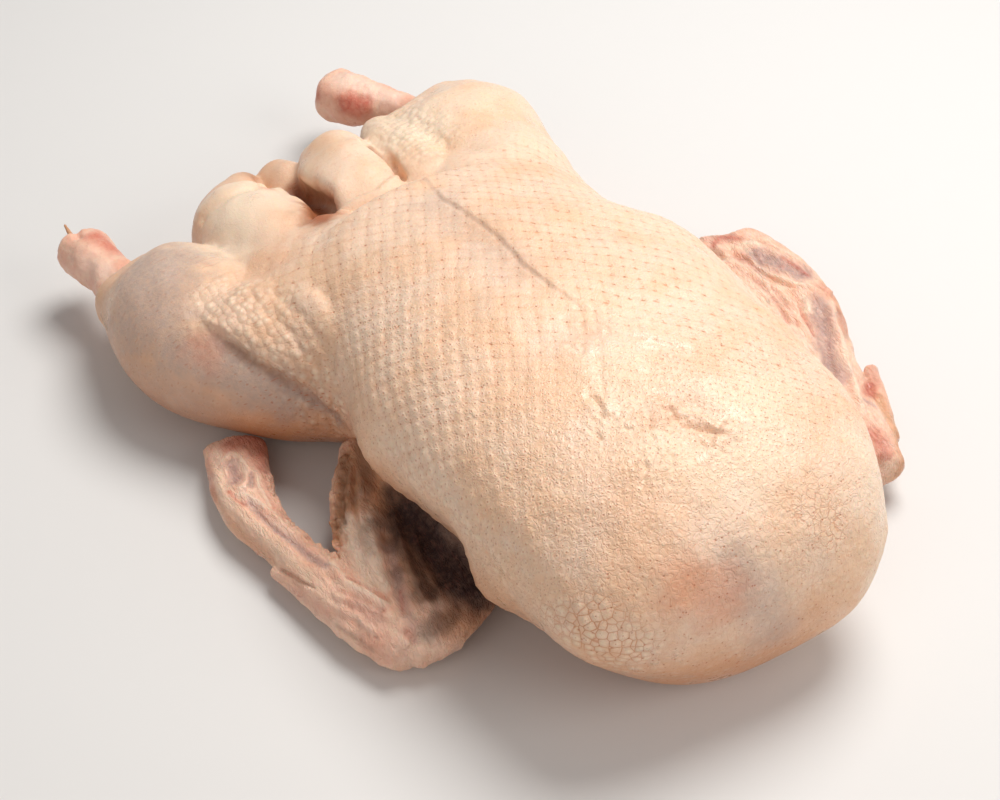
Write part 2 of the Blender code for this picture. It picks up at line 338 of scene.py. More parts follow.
def newGroup(name, inputs, outputs, kind="ShaderNodeTree"):
    # an input is given by its default value, or by the kind of its socket
    group = bpy.data.node_groups.new(name, kind)
    for label, value in inputs.items():
        socketKind = value if isinstance(value, str) else {float: "Float", tuple: "Color"}[type(value)]
        socket = group.interface.new_socket(name=label, in_out="INPUT", socket_type="NodeSocket" + socketKind)
        if socketKind != value:
            socket.default_value = value
    for label in outputs:
        socketKind = label if label in ("Color", "Geometry") else "Float"
        group.interface.new_socket(name=label, in_out="OUTPUT", socket_type="NodeSocket" + socketKind)
    return group, group.nodes.new("NodeGroupInput").outputs, group.nodes.new("NodeGroupOutput")


def placeGroup(group, inputs):
    return follow("ShaderNodeGroup", inputs, node_tree=group)


def makeMottle():
    # skin colour that drifts over centimetres and flecks over millimetres
    group, given, result = newGroup("fleshMottle", {
        "Vector": "Vector", "Main": (0.8, 0.6, 0.4, 1), "Drift": (0.7, 0.5, 0.4, 1),
        "Fleck": (0.6, 0.3, 0.2, 1), "Drift Size": 30.0, "Fleck Size": 320.0,
        "Fleck Amount": 0.3}, ("Color",))
    broad = noise(given["Vector"], given["Drift Size"], detail=4.0, roughness=0.6)
    fine = noise(given["Vector"], given["Fleck Size"], detail=3.0, roughness=0.65)
    drifted = colourMix(remap(broad, 0.36, 0.66), given["Main"], given["Drift"])
    speckle = times(remap(fine, 0.5, 0.72), given["Fleck Amount"])
    fill(result, {"Color": colourMix(speckle, drifted, given["Fleck"])})
    return group


def makeStainsAndShading():
    # mixes the painted red, grey, brown and pale patches over a base, broken up by a fine noise; the grey and
    # brown also hold painted shade, the pale painted light
    group, given, result = newGroup("paintedStainsAndShading", {
        "Vector": "Vector", "Base": (0.8, 0.6, 0.4, 1), "Masks": "Vector", "Pale Mask": 0.0,
        "Red": (0.6, 0.2, 0.1, 1), "Grey": (0.4, 0.3, 0.3, 1), "Brown": (0.4, 0.2, 0.1, 1),
        "Pale": (0.9, 0.8, 0.7, 1)}, ("Color",))
    grain = noise(given["Vector"], 330.0, detail=4.0, roughness=0.7)
    broken = remap(grain, 0.3, 0.7, 0.74, 1.14)
    even = remap(grain, 0.3, 0.7, 0.94, 1.04)
    red, grey, brownAndShade = parts(given["Masks"])
    colour = colourMix(given["Pale Mask"], given["Base"], given["Pale"])
    for mask, share, swatch in ((grey, broken, "Grey"), (brownAndShade, even, "Brown"), (red, broken, "Red")):
        colour = colourMix(calc("MULTIPLY", mask, share, clamp=True), colour, given[swatch])
    fill(result, {"Color": colour})
    return group


def makeFollicles():
    # quilted feather tracts: a dark pit near each crossing of the grooves, a mound round it, and the soft
    # grooves and dark dashes between
    group, given, result = newGroup("featherTracts", {
        "Lattice": "Vector", "Density": 1.0, "Jitter": 0.25, "Pit Size": 0.07, "Groove Width": 0.1},
        ("Pit", "Groove", "Dash", "Mound"))
    lattice = scaled(given["Lattice"], given["Density"])
    pits = cells(lattice, 1.0, given["Jitter"], voronoi_dimensions="2D")
    ridges = [calc("ABSOLUTE", calc("SINE", times(part, math.pi)))
              for part in parts(vectorCalc("SUBTRACT", lattice, (0.1, 0.1, 0)))[:2]]
    fill(result, {
        "Pit": dying(pits, 0.0, given["Pit Size"]),
        "Groove": dying(calc("MINIMUM", *ridges), 0.0, given["Groove Width"]),
        "Dash": times(dying(ridges[1], 0.0, 0.34), dying(ridges[0], 0.15, 0.85)),
        "Mound": dying(pits, 0.05, 0.52)})
    return group


def makeLeather():
    # squiggly wrinkles of living skin: thin valleys where a twisted noise passes its middle value
    group, given, result = newGroup("leatherWrinkles", {
        "Vector": "Vector", "Size": 260.0, "Twist": 1.6, "Valley Width": 0.09}, ("Valley",))
    away = calc("ABSOLUTE", minus(noise(given["Vector"], given["Size"], 1.5, 0.5, given["Twist"]), 0.5))
    fill(result, {"Valley": dying(away, 0.0, given["Valley Width"])})
    return group


def makeFilm():
    # thin wet film: uneven gloss, hair-fine wrinkles and wet flecks
    group, given, result = newGroup("wetFilm", {"Vector": "Vector", "Size": 90.0, "Dry": 0.55, "Wet": 0.3},
                                    ("Roughness", "Height", "Wetness"))
    wet = remap(noise(given["Vector"], given["Size"], detail=5.0, roughness=0.62), 0.45, 0.68)
    fill(result, {"Roughness": remap(wet, 0.0, 1.0, given["Dry"], given["Wet"], "LINEAR"), "Wetness": wet,
                  "Height": noise(given["Vector"], 620.0, detail=3.0, roughness=0.6, distortion=1.2)})
    return group


fleshMottle = makeMottle()
paintedStainsAndShading = makeStainsAndShading()
featherTracts = makeFollicles()
leatherWrinkles = makeLeather()
wetFilm = makeFilm()
print("shared material effects built")


def startMaterial(name, values):
    material = bpy.data.materials.new(name)
    material.use_nodes = True
    tree = material.node_tree
    shader = tree.nodes["Principled BSDF"]
    fill(shader, values)
    return material, tree, shader, addNode(tree, "ShaderNodeTexCoord", {})["Object"]


def mottled(here, look):
    return placeGroup(fleshMottle, {"Vector": here, **look["mottle"]})["Color"]


# the skin's stains, painted shade and painted light over a base
def stainedAndShaded(base, here, look):
    return placeGroup(paintedStainsAndShading, {
        "Vector": here, "Base": base, "Masks": readAttribute(here.id_data, "stainAndShading"),
        "Pale Mask": readAttribute(here.id_data, "stainAndShading", "Alpha"), **look["patchColours"]})["Color"]


def addBump(shader, height, values):
    fill(shader, {"Normal": follow("ShaderNodeBump", {"Height": height, **values})[0]})


skinLook = {
    "mottle": {"Main": tone(243, 212, 186), "Drift": tone(240, 199, 165), "Fleck": tone(222, 160, 118),
               "Drift Size": 30.0, "Fleck Size": 420.0, "Fleck Amount": 0.26},
    # Pale is the colour of lit skin, used for painted light and highlights; Grey and Brown serve stains and
    # painted shade
    "patchColours": {"Red": tone(220, 134, 98), "Grey": tone(182, 160, 150), "Brown": tone(150, 88, 52),
               "Pale": tone(252, 230, 203)},
    # side: painted shade on the lower sides, partly the skin's own tan; groove: painted shade in grooves and
    # creases
    "side": tone(209, 138, 88), "groove": tone(212, 140, 96), "pit": tone(186, 88, 38),
    # keelLine: painted shade along the keel crease
    "keelLine": tone(190, 156, 136),
    "coarse": {"Density": 1.0, "Jitter": 0.3, "Pit Size": 0.11, "Groove Width": 0.8},
    "fine": {"Density": 2.0, "Jitter": 0.6, "Pit Size": 0.20, "Groove Width": 0.1},
    "leather": {"Size": 330.0, "Twist": 0.7, "Valley Width": 0.10},
    "wander": 0.9, "twist": 0.012, "poreScale": 345.0, "bumpScale": 240.0, "bumpJitter": 0.55,
    "crackScale": 235.0, "frontAt": (-0.160, -0.140), "sidePits": (0.05, 0.4, 0.62, 0.9),
    # how far from a cell's middle, a cell's edge or the keel each mark starts to fade, and where it ends
    "fades": {"pore": (0.05, 0.23), "mound": (0.08, 0.5), "bead": (0.15, 0.6), "discPit": (0.04, 0.12),
              "edge": (0.0, 0.08), "keelLine": (0.0002, 0.0020)},
    # how far each mark takes the groove's colour, a painted shade in the grooves, wrinkles, dashes, cracks
    # and disc gaps, and how deep it goes in the bump
    "shades": {"groove": 0.15, "squiggle": 0.14, "dash": 0.85, "crack": 0.5, "seam": 0.8},
    "depths": {"groove": 0.13, "pit": 0.4, "squiggle": 0.22, "dash": 0.4, "crack": 0.35, "seam": 0.2,
               "keelLine": 0.25, "pebble": 1.6},
    # how strong the painted highlights on the mound and goosebump tips are, then the keel line's shade and
    # the film
    "moundHighlights": 0.2, "beadHighlights": 0.62, "keelLineShade": 0.3, "coat": 0.32, "filmHeight": 0.40,
    "moundHeight": 0.32,
    "film": {"Size": 70.0, "Dry": 0.47, "Wet": 0.26}, "bump": {"Strength": 0.7, "Distance": 0.0011},
    "shader": {"Specular IOR Level": 0.46, "Coat Roughness": 0.2, "Subsurface Weight": 0.2,
               "Subsurface Radius": (1.0, 0.45, 0.25), "Subsurface Scale": 0.0022},
}


def makeSkinMaterial():
    look, fades = skinLook, skinLook["fades"]
    material, tree, shader, here = startMaterial("gooseSkin", look["shader"])
    quilt, pitting, goose = parts(readAttribute(tree, "amounts"))
    beside, keelMask, shadedLowSides = parts(readAttribute(tree, "keel"))
    leather, crackle, scales = parts(readAttribute(tree, "texture"))

    # the lattice runs a little crooked, as skin does
    wander = vectorCalc("SUBTRACT", noise(here, 70.0, detail=3.0, output=1), (0.5, 0.5, 0.5))
    crooked = vectorCalc("ADD", readAttribute(tree, "lattice"), scaled(wander, look["wander"]))
    coarse = placeGroup(featherTracts, {"Lattice": crooked, **look["coarse"]})
    fine = placeGroup(featherTracts, {"Lattice": crooked, **look["fine"]})
    bumps = cells(here, look["bumpScale"], look["bumpJitter"])
    seams = cells(here, look["bumpScale"], look["bumpJitter"], "DISTANCE_TO_EDGE")
    twisted = vectorCalc("ADD", here, scaled(noise(here, 120.0, output=1), look["twist"]))
    cracks = cells(twisted, look["crackScale"], feature="DISTANCE_TO_EDGE")

    # on the blunt front the lattice bunches up, so plain cells take over from it there
    ahead = dying(parts(here)[1], *look["frontAt"])
    finePit = blend(ahead, fine["Pit"], dying(cells(here, look["poreScale"], 0.8), *fades["pore"]))
    fineMound = times(blend(ahead, fine["Mound"], dying(bumps, *fades["mound"])), pitting)
    patchy = remap(noise(here, 130.0, detail=3.0), 0.38, 0.58, toLow=0.3, toHigh=1.0)
    pits = times(larger(times(coarse["Pit"], quilt), times(finePit, pitting)), larger(patchy, 0.75))
    wrinkled = placeGroup(leatherWrinkles, {"Vector": here, **look["leather"]})
    marks = {
        "groove": times(coarse["Groove"], quilt),
        "squiggle": times(wrinkled["Valley"], leather),
        "dash": times(coarse["Dash"], quilt, remap(beside, -0.012, 0.004, toLow=1.0, toHigh=0.25)),
        "crack": times(dying(cracks, *fades["edge"]), crackle),
        "seam": times(dying(seams, *fades["edge"]), scales),
        "pit": larger(pits, times(dying(bumps, *fades["discPit"]), scales)),
        "keelLine": times(dying(calc("ABSOLUTE", beside), *fades["keelLine"]), keelMask),
        "pebble": times(bumps, goose),
    }

    shades = {name: times(marks[name], share) for name, share in look["shades"].items()}
    # painted shade: the lines take the darker groove colour
    lines = times(plus(plus(shades["groove"], shades["squiggle"]), shades["dash"]), patchy)
    lines = larger(lines, larger(shades["crack"], shades["seam"]))
    beads = times(dying(bumps, *fades["bead"]), goose)
    # painted highlights: the tips of the follicle mounds and goosebumps take the pale colour of lit skin
    tipHighlights = larger(times(fineMound, look["moundHighlights"]), times(beads, look["beadHighlights"]))
    # painted shade: the lower sides take the darker tan side colour
    colour = colourMix(shadedLowSides, mottled(here, look), look["side"])
    colour = colourMix(lines, colour, look["groove"])
    colour = stainedAndShaded(colourMix(tipHighlights, colour, look["patchColours"]["Pale"]), here, look)
    colour = colourMix(times(marks["pit"], remap(shadedLowSides, *look["sidePits"])), colour, look["pit"])
    # painted shade: a soft grey line down the keel crease
    colour = colourMix(times(marks["keelLine"], look["keelLineShade"]), colour, look["keelLine"])

    film = placeGroup(wetFilm, {"Vector": here, **look["film"]})
    fill(shader, {"Base Color": colour, "Roughness": film["Roughness"],
                  "Coat Weight": times(film["Wetness"], look["coat"])})
    height = plus(times(film["Height"], look["filmHeight"]), times(fineMound, look["moundHeight"]))
    for name, depth in look["depths"].items():
        height = minus(height, times(marks[name], depth))
    addBump(shader, height, look["bump"])
    return material


wingLook = {
    "mottle": {"Main": tone(250, 208, 182), "Drift": tone(243, 190, 162), "Fleck": tone(196, 128, 108),
               "Drift Size": 60.0, "Fleck Size": 380.0, "Fleck Amount": 0.12},
    # Brown: the web's own dark brown, made darker still as painted shade where the web lies under the body
    "patchColours": {"Red": tone(196, 108, 88), "Grey": tone(184, 150, 142), "Brown": tone(48, 16, 6),
               "Pale": tone(251, 223, 199)},
    "skin": tone(214, 152, 108), "grain": {"Rotation": (0, 0, 0.12), "Scale": (3.2, 0.8, 1.6)},
    "leather": {"Size": 150.0, "Twist": 1.2, "Valley Width": 0.08},
    "streak": 0.12, "coat": 0.3, "darkCoat": 0.24, "darkRoughness": 0.3, "fibreHeight": 0.8,
    "filmHeight": 0.45, "squiggle": 0.4,
    "film": {"Size": 110.0, "Dry": 0.5, "Wet": 0.25}, "bump": {"Strength": 0.75, "Distance": 0.0012},
    "shader": {"Coat Roughness": 0.16, "Subsurface Weight": 0.25, "Subsurface Radius": (1.0, 0.35, 0.2),
               "Subsurface Scale": 0.002},
}


def makeWingMaterial():
    look = wingLook
    material, tree, shader, here = startMaterial("wingFlesh", look["shader"])
    base = colourMix(readAttribute(tree, "skinned", "Fac"), mottled(here, look), look["skin"])
    stretched = follow("ShaderNodeMapping", {"Vector": here, **look["grain"]})[0]
    fibres = noise(stretched, 170.0, detail=4.0, roughness=0.65, distortion=0.8)
    streak = times(remap(fibres, 0.54, 0.72), look["streak"])
    dark = remap(parts(readAttribute(tree, "stainAndShading"))[2], 0.2, 0.9)   # the brown web is dull
    film = placeGroup(wetFilm, {"Vector": here, **look["film"]})
    fill(shader, {
        "Base Color": colourMix(streak, stainedAndShaded(base, here, look), look["patchColours"]["Red"]),
        "Roughness": calc("ADD", film["Roughness"], times(dark, look["darkRoughness"]), clamp=True),
        "Coat Weight": times(film["Wetness"], minus(look["coat"], times(dark, look["darkCoat"])))})
    squiggle = placeGroup(leatherWrinkles, {"Vector": stretched, **look["leather"]})["Valley"]
    height = plus(times(fibres, look["fibreHeight"]), times(film["Height"], look["filmHeight"]))
    addBump(shader, minus(height, times(squiggle, look["squiggle"])), look["bump"])
    return material


shankLook = {
    "mottle": {"Main": tone(244, 200, 174), "Drift": tone(236, 178, 152), "Fleck": tone(206, 126, 104),
               "Drift Size": 80.0, "Fleck Size": 520.0, "Fleck Amount": 0.25},
    "patchColours": {"Red": tone(198, 92, 70), "Grey": tone(190, 154, 142), "Brown": tone(190, 134, 88),
               "Pale": tone(246, 216, 198)},
    "film": {"Size": 140.0, "Dry": 0.46, "Wet": 0.26}, "bump": {"Strength": 0.45, "Distance": 0.0008},
    "shader": {"Subsurface Weight": 0.25, "Subsurface Radius": (1.0, 0.35, 0.2), "Subsurface Scale": 0.002},
}


def makeShankMaterial():
    look = shankLook
    material, _, shader, here = startMaterial("shankSkin", look["shader"])
    film = placeGroup(wetFilm, {"Vector": here, **look["film"]})
    fill(shader, {"Base Color": stainedAndShaded(mottled(here, look), here, look), "Roughness": film["Roughness"]})
    addBump(shader, film["Height"], look["bump"])
    return material


gooseSkin = makeSkinMaterial()
wingFlesh = makeWingMaterial()
shankSkin = makeShankMaterial()
print("materials built")


trunk = {
    "voxel": 1.8, "smoothing": 6, "thinBelow": 3, "kept": 0.70,
    # the blunt nose: how far behind the front its rows stand, and the length and power of each rounding
    "front": -183, "belt": 55, "noseRows": (0.5, 2.5, 6, 11, 18, 27, 38, 51, 66), "noseHalfWidth": 76.5,
    "noseWidth": (32, 2.5), "noseTop": (90, 2.3), "noseUnderside": (50, 2.3), "noseShift": (-2.5, 4),
    # y, half width, top, underside, shift to +X
    "breast": ((-88, 89.5, 125, -5, -2.5), (-50, 96, 126, -5, 0), (-10, 95, 124.5, -5, -1),
        (30, 90, 119, -5, -3), (62, 82, 113, 0, -6), (85, 77, 107, 8, -9), (98, 68, 103, 18, -11)),
    # x, y, z, half width, half height, and tilt where a form leans
    "pelvis": ((0, 0, 42, 78, 47), (0, 80, 42, 74, 47), (-8, 140, 34, 78, 39), (-14, 178, 28, 66, 30)),
    "bellyLobe": ((-18, 90, 42, 30, 32), (-23, 145, 50, 26, 34), (-18, 185, 47, 22, 28)),
    "tailLobe": ((-36, 130, 30, 30, 20), (-38, 192, 30, 20, 19), (-42, 214, 32, 13, 14)),
    "leftMound": ((-66, 90, 42, 35, 40), (-76, 140, 42, 31, 36), (-79, 178, 38, 27, 31)),
    "leftTail": ((-74, 150, 31, 34, 30), (-73, 195, 29, 27, 26), (-62, 214, 31, 13, 17)),
    "drumstick": ((-74, 36, 34, 22, 30), (-96, 72, 36, 37, 34), (-122, 118, 37, 45, 37),
        (-135, 150, 36, 37, 33), (-144, 170, 34, 24, 24)),
    "leftFlank": ((-50, -30, 74, 40, 22, -22), (-56, 20, 76, 42, 22, -25), (-62, 55, 76, 44, 20, -24),
        (-74, 86, 70, 46, 20, -18), (-80, 112, 59, 42, 21, -14), (-88, 140, 47, 36, 22, -8)),
    "thigh": ((40, 60, 50, 38, 44), (45, 110, 50, 39, 44), (47, 150, 48, 43, 40), (46, 180, 47, 44, 37),
        (40, 200, 45, 39, 30)),
    "thighCorner": ((10, 125, 67, 20, 20), (14, 160, 62, 18, 18), (17, 188, 56, 17, 16),
        (19, 205, 51, 14, 13)),
    "flap": ((-104, 124, 60, 16, 4.5, 8), (-108, 102, 69.5, 19, 4.8, 10), (-107, 91, 72.5, 19, 5, 15),
        (-103, 76, 73, 19, 5.2, 25), (-98.5, 63, 74.5, 18, 5.5, 42), (-94.5, 50, 74, 17, 5.5, 58),
        (-92.5, 41, 71, 17, 5.5, 68), (-91.5, 30, 61, 16, 5, 75), (-90.5, 16, 50, 14, 4.5, 80)),
    "rightFlank": ((42, -10, 78, 40, 22, 16), (40, 50, 80, 40, 22, 16), (38, 95, 76, 40, 20, 10),
        (41, 130, 66, 40, 18, 6), (44, 155, 56, 36, 18, 4)),
    # soft pushes on the joined flesh: where, which way, and the reach
    "pushes": (((43, -177, 37), (3.2, -4, -1.8), 26), ((-36, 205, 50), (0, 3, 3.2), 13),
        ((-62, -163, 31), (2.6, 3.6, 4.4), 36), ((77, -160, 75), (-3.8, 2.2, -0.1), 18),
        ((80, -114, 95), (3.3, 0, 1.6), 26), ((-85, -100, 48), (-6.6, -0.6, -3.8), 18),
        ((-92, -71, 54), (2.8, 0.3, 1.6), 18), ((-95, -13, 55), (-7.5, -0.2, -3.9), 26),
        ((91, -30, 97), (-4, -0.2, -2.2), 36), ((89, -51, 101), (-3.7, -0.2, -2), 18),
        ((71, 44, 98), (-4.6, -1.4, -3.5), 18), ((72, 80, 86), (-3, 0, -1.5), 26),
        ((81, 168, 72), (3.4, 0.6, 1.8), 20), ((37, 208, 72), (0.6, -5.5, -4.5), 26),
        ((-147, 177, 56), (1, -6.1, -4.8), 18), ((-97, 38, 13), (5, 0, 2.5), 18),
        ((-150, 95, 20), (-1.2, -0.8, -1.5), 30)),
}

# creases and folds in the skin: depth and width (a negative depth is a raised line), then points
creases = {
    "keel": (0.4, 1.3, ((-9, 150, 92), (-8, 128, 83), (-16, 74, 110), (-12, 43, 117), (-11, 26, 119),
        (-13, 0, 123), (-12, -20, 125), (-9, -36, 126), (-7, -53, 126))),
    "keelValley": (1, 8, ((-22, 84, 107), (-18, 50, 116), (-18, 10, 121), (-15, -28, 124))),
    "thighCrease": (4.5, 2.6, ((-9, 179, 74), (-7, 166, 75), (-5, 150, 74), (-8, 128, 83))),
    "crevice": (11, 4.6, ((-56, 122, 80), (-49, 145, 70), (-46, 165, 60), (-45, 190, 46))),
    "lobeHollow": (2.5, 5, ((-42, 140, 72), (-40, 160, 66))),
    "smallLobe": (1.8, 2.2, ((-57, 214, 45), (-54, 205, 46), (-60, 178, 62))),
    "muscleRidge": (-0.8, 4, ((9, 133, 81), (23, 120, 90), (39, 112, 93), (49, 100, 94), (57, 84, 93))),
    "neckHollow": (2.4, 13, ((-8, -110, 122), (2, -130, 120))),
    "flankA": (0.6, 1.7, ((-110, 94, 73), (-103, 63, 74), (-98, 42, 70), (-95, 30, 52))),
    "flankB": (0.6, 1.7, ((-101, 90, 78), (-95, 59, 80), (-95, 33, 76), (-95, 21, 61))),
    "moundFold": (1.8, 3, ((-102, 177, 55), (-88, 173, 69), (-68, 171, 69))),
    "moundPit": (2.4, 3.4, ((-64, 176, 66), (-60, 186, 60))),
}

# skin that ends over what lies beneath: height, crispness and reach, then its edge, lower side to the right
overlaps = {
    "keelEdge": (0.6, 1.2, 9, ((-8, 128, 83), (-16, 74, 110), (-12, 43, 117), (-11, 26, 119), (-13, 0, 123),
        (-12, -20, 125), (-9, -36, 126), (-7, -53, 126))),
    "breastRim": (2, 0.8, 14, ((0, 138, 76), (-8, 134, 80), (-24, 128, 80), (-41, 131, 74), (-58, 124, 76),
        (-66, 120, 78))),
    "flap": (4.6, 0.9, 17, ((-136, 100, 66), (-129, 84, 67), (-123, 68, 65), (-114, 52, 62), (-106, 41, 58),
        (-100, 28, 54), (-96, 14, 46), (-93, 2, 36))),
}

# fine crooked wrinkles that run out at both ends: depth and width, then points
wrinkles = (
    (1.9, 1.5, ((-12, -100, 124), (-9, -107, 122), (-6, -114, 122), (-2, -122, 122), (3, -127, 120),
    (9, -137, 118))), (-1, 2.4, ((-8, -102, 124), (-1, -114, 122), (5, -122, 121), (13, -134, 118))),
    (0.9, 1.1, ((-11, -124, 122), (-3, -132, 121), (4, -142, 118))), (0.8, 1, ((-14, -99, 124),
    (-18, -113, 123), (-22, -119, 123), (-28, -128, 120))), (0.7, 0.9, ((-20, -108, 122), (-16, -118, 123),
    (-12, -126, 122))), (1.2, 1.5, ((-30, -76, 124), (-31, -89, 121), (-32, -96, 121), (-25, -102, 123))),
    (0.8, 1.2, ((-35, -92, 121), (-40, -103, 121), (-43, -115, 119))), (0.7, 1.1, ((-36, -104, 120),
    (-28, -109, 122), (-19, -116, 122))), (0.8, 1.2, ((-27, -118, 121), (-33, -129, 119),
    (-38, -141, 114))), (0.7, 1.2, ((-13, -120, 122), (-20, -129, 121), (-26, -141, 118))),
    (0.7, 1, ((-17, -49, 125), (-10, -46, 124), (-2, -44, 124))), (0.8, 1.1, ((-5, -40, 124),
    (-7, -54, 125), (-9, -66, 126))), (0.8, 1.1, ((-32, -55, 125), (-25, -57, 125), (-22, -62, 126),
    (-14, -56, 125))), (0.5, 1.1, ((-4, -48, 126), (6, -57, 126), (18, -69, 126))),
    (0.5, 1.1, ((-3, -61, 127), (7, -71, 126), (19, -83, 125))), (0.5, 1.1, ((-5, -73, 126), (6, -83, 125),
    (16, -95, 124))), (0.6, 2.2, ((-14, -60, 125), (-24, -80, 124), (-35, -97, 121))),
)

# patches of uneven small folds: height, reach and spacing, the way they run from +X, then points
foldPatches = (
    (0.42, 20, 4.2, -58, ((-6, -108, 122), (4, -130, 119))), (0.36, 15, 4, -95, ((-30, -84, 122),
    (-32, -98, 121))), (0.32, 18, 4.2, -112, ((-24, -120, 121), (-32, -138, 115))),
    (0.28, 13, 3.6, -80, ((-12, -50, 125), (-22, -58, 125))), (0.2, 20, 4, -47, ((10, -68, 126),
    (30, -50, 122))), (0.24, 26, 4.4, -90, ((-4, -150, 108), (24, -165, 98))),
    (0.2, 30, 5, -60, ((-60, -110, 100), (-50, -60, 112))), (0.35, 20, 5, -75, ((-100, 46, 70),
    (-96, 30, 60))), (0.3, 22, 4.5, 60, ((-128, 120, 30), (-112, 80, 30), (-104, 50, 30))),
    (0.26, 18, 4, 75, ((10, 190, 64), (14, 160, 74))),
)

# how a line fades at its ends, with the share, place and width of its soft rim; and how far small folds are
# drawn out along their way, how crooked they are and how sharp
foldLook = {
    "crease": {"ends": (0, 0.10), "rim": (0.25, 2.2, 1.6)},
    "wrinkle": {"ends": (0, 0.45), "rim": (0.35, 2.2, 1.4)},
    "overlapEnds": (0, 0.15), "drawnOut": 0.74, "crook": 0.3, "sharpness": 1.6,
    # the uneven top and front: height and size in metres, and seed
    "topUneven": ((0.0005, 0.045, 3), (0.00025, 0.016, 4)), "frontUneven": (0.00012, 0.006, 6),
}

# feather tracts: the way of the two follicle rows from +X, and their spacing
tracts = {
    "ways": (-38, 64), "pitches": (6.6, 7.2), "rightSideDenser": 1.22,
    # the body they are laid round: its middle, its level, and the half width and height of a typical section
    "keel": -4, "belt": 55, "ring": (94, 69),
    # y, and there the body's half width and its height over the belt
    "halfWidths": ((-183, -150, -88, -50, 30, 85, 200), (70, 84, 92, 96, 90, 80, 76)),
    "heights": ((-183, -120, -50, 30, 100, 200), (45, 66, 71, 64, 48, 35)),
    "noseStart": -100, "noseStretch": 6.0,
}

# where each kind of skin shows: axes with their sign, where it starts and where it is full
skinZones = {
    "top": (("z", 20, 60),), "front": (("-y", 50, 100),), "low": (("-z", -85, -20),),
    "tail": (("y", 90, 170),), "rightFront": (("x", 0, 50), ("-y", 80, 150)),
    "breastTop": (("z", 60, 90), ("-y", -125, -100)), "right": (("x", 0, 30),),
    "leftHalf": (("-x", 0, 20),), "rightRows": (("y", -165, -120),), "leftRows": (("y", -100, -40),),
    "belly": (("-y", -160, -100), ("z", 12, 30)), "leftSide": (("-x", 30, 70), ("-y", -90, -20)),
    "thighs": (("y", 100, 140), ("x", 0, 20)), "behind": (("y", 50, 100),), "raised": (("z", 10, 30),),
    "drumstick": (("-x", 90, 120), ("z", 20, 40), ("y", 40, 70), ("-y", -180, -150)),
    "domes": (("-x", 35, 75), ("z", 20, 45), ("-y", -50, 0), ("y", -160, -110)),
}
# goosebumps, crackled skin and scaly discs, and then the stains, painted shade and painted light: amount and
# radius, then points
skinPatches = {
    "goose": ((1, 20, ((-120, 92, 72), (-104, 54, 66), (-98, 34, 54))), (0.9, 17, ((-78, -154, 74),
        (-66, -170, 64))), (0.7, 11, ((-101, -28, 76), (-99, -40, 79), (-98, -52, 84), (-97, -63, 85),
        (-94, -85, 83), (-91, -113, 71))), (0.7, 18, ((10, 178, 72), (14, 150, 78), (24, 190, 66)))),
    "crackle": ((1, 12, ((27, -165, 100), (31, -174, 88))), (0.5, 10, ((24, -184, 52), (14, -176, 86)))),
    "scales": ((1, 15, ((-76, -158, 78), (-66, -170, 68))), (0.7, 12, ((-82, -146, 72),))),
}
trunkPatches = {
    "red": ((0.4, 11, ((-139, 84, 62),)), (0.42, 14, ((-36, -170, 92), (-29, -174, 86), (-24, -177, 80))),
        (0.6, 5, ((-64, 174, 67),)), (0.14, 18, ((-60, 150, 72), (-90, 110, 78))),
        (0.15, 9, ((-14, -57, 125), (2, -66, 126))), (0.2, 14, ((-8, -108, 122), (2, -126, 120))),
        (0.3, 9, ((-58, 122, 82), (-50, 121, 82)))),
    # painted shade: grey under the flap's edge, on the drumstick below it and in a soft valley beside the
    # keel; the grey on the drumstick's top is partly its own greyer skin, and a grey streak runs down the
    # front
    "grey": ((0.75, 30, ((-150, 124, 60), (-140, 140, 66))), (0.45, 20, ((-160, 128, 36), (-142, 86, 34))),
        (0.7, 14, ((-146, 100, 52), (-130, 76, 50), (-114, 52, 48))), (0.8, 5, ((-134, 84, 62),
        (-127, 66, 60), (-118, 50, 56), (-109, 39, 52), (-102, 26, 46))), (0.5, 11, ((-14, -171, 92),
        (-9, -179, 78), (-4, -182, 66), (1, -183, 52))), (0.5, 6, ((-8, -180, 74), (-2, -183, 58))),
        (0.3, 12, ((-20, 74, 110), (-18, 30, 119), (-17, 0, 121)))),
    # painted shade: brown darkens the crevice under the breast rim, the belly lobe's shaded side, the small
    # lobe's fold, the thigh crease, a line under the flap, the drumstick's underside and a band low round the
    # body; two faint brown patches lie on the flank and the front left
    "brownAndShade": ((0.3, 22, ((-150, 110, 22), (-122, 62, 22), (-102, 34, 22))), (1, 9, ((-58, 120, 80),
        (-50, 142, 68), (-45, 158, 56), (-43, 185, 46))), (0.6, 9, ((-40, 150, 62), (-40, 175, 52))),
        (0.5, 5, ((-57, 214, 45), (-54, 205, 46))), (0.7, 3, ((-7, 170, 75), (-6, 150, 76))),
        (0.16, 16, ((-116, 84, 74), (-104, 56, 70), (-98, 34, 60))), (0.12, 30, ((-52, -150, 95),
        (-32, -168, 80))), (0.4, 3.5, ((-128, 78, 64), (-120, 60, 60), (-111, 46, 56), (-103, 34, 52),
        (-98, 20, 46))), (0.2, 26, ((-95, 0, 30), (-92, -60, 30), (-80, -130, 30), (0, -178, 30)))),
    # painted light: pale patches brighten the lit mound, the thigh tops, the breast top, the neck end and the
    # front right
    "pale": ((0.65, 30, ((-72, 168, 72), (-88, 150, 66))), (0.6, 20, ((8, 190, 66), (20, 160, 80))),
        (0.35, 14, ((38, 175, 84), (56, 162, 86))), (0.3, 16, ((0, -60, 126), (-20, -100, 124))),
        (0.5, 22, ((10, -140, 116), (-10, -128, 121), (24, -120, 120))), (0.4, 22, ((62, -165, 50),
        (66, -150, 80)))),
}
# relief of the skin, in metres and in pebbles per metre
relief = {"Quilt Depth": 0.00030, "Dome Height": 0.00046, "Goosebump Height": 0.0012,
          "Goosebump Scale": 240.0, "Skin": gooseSkin}


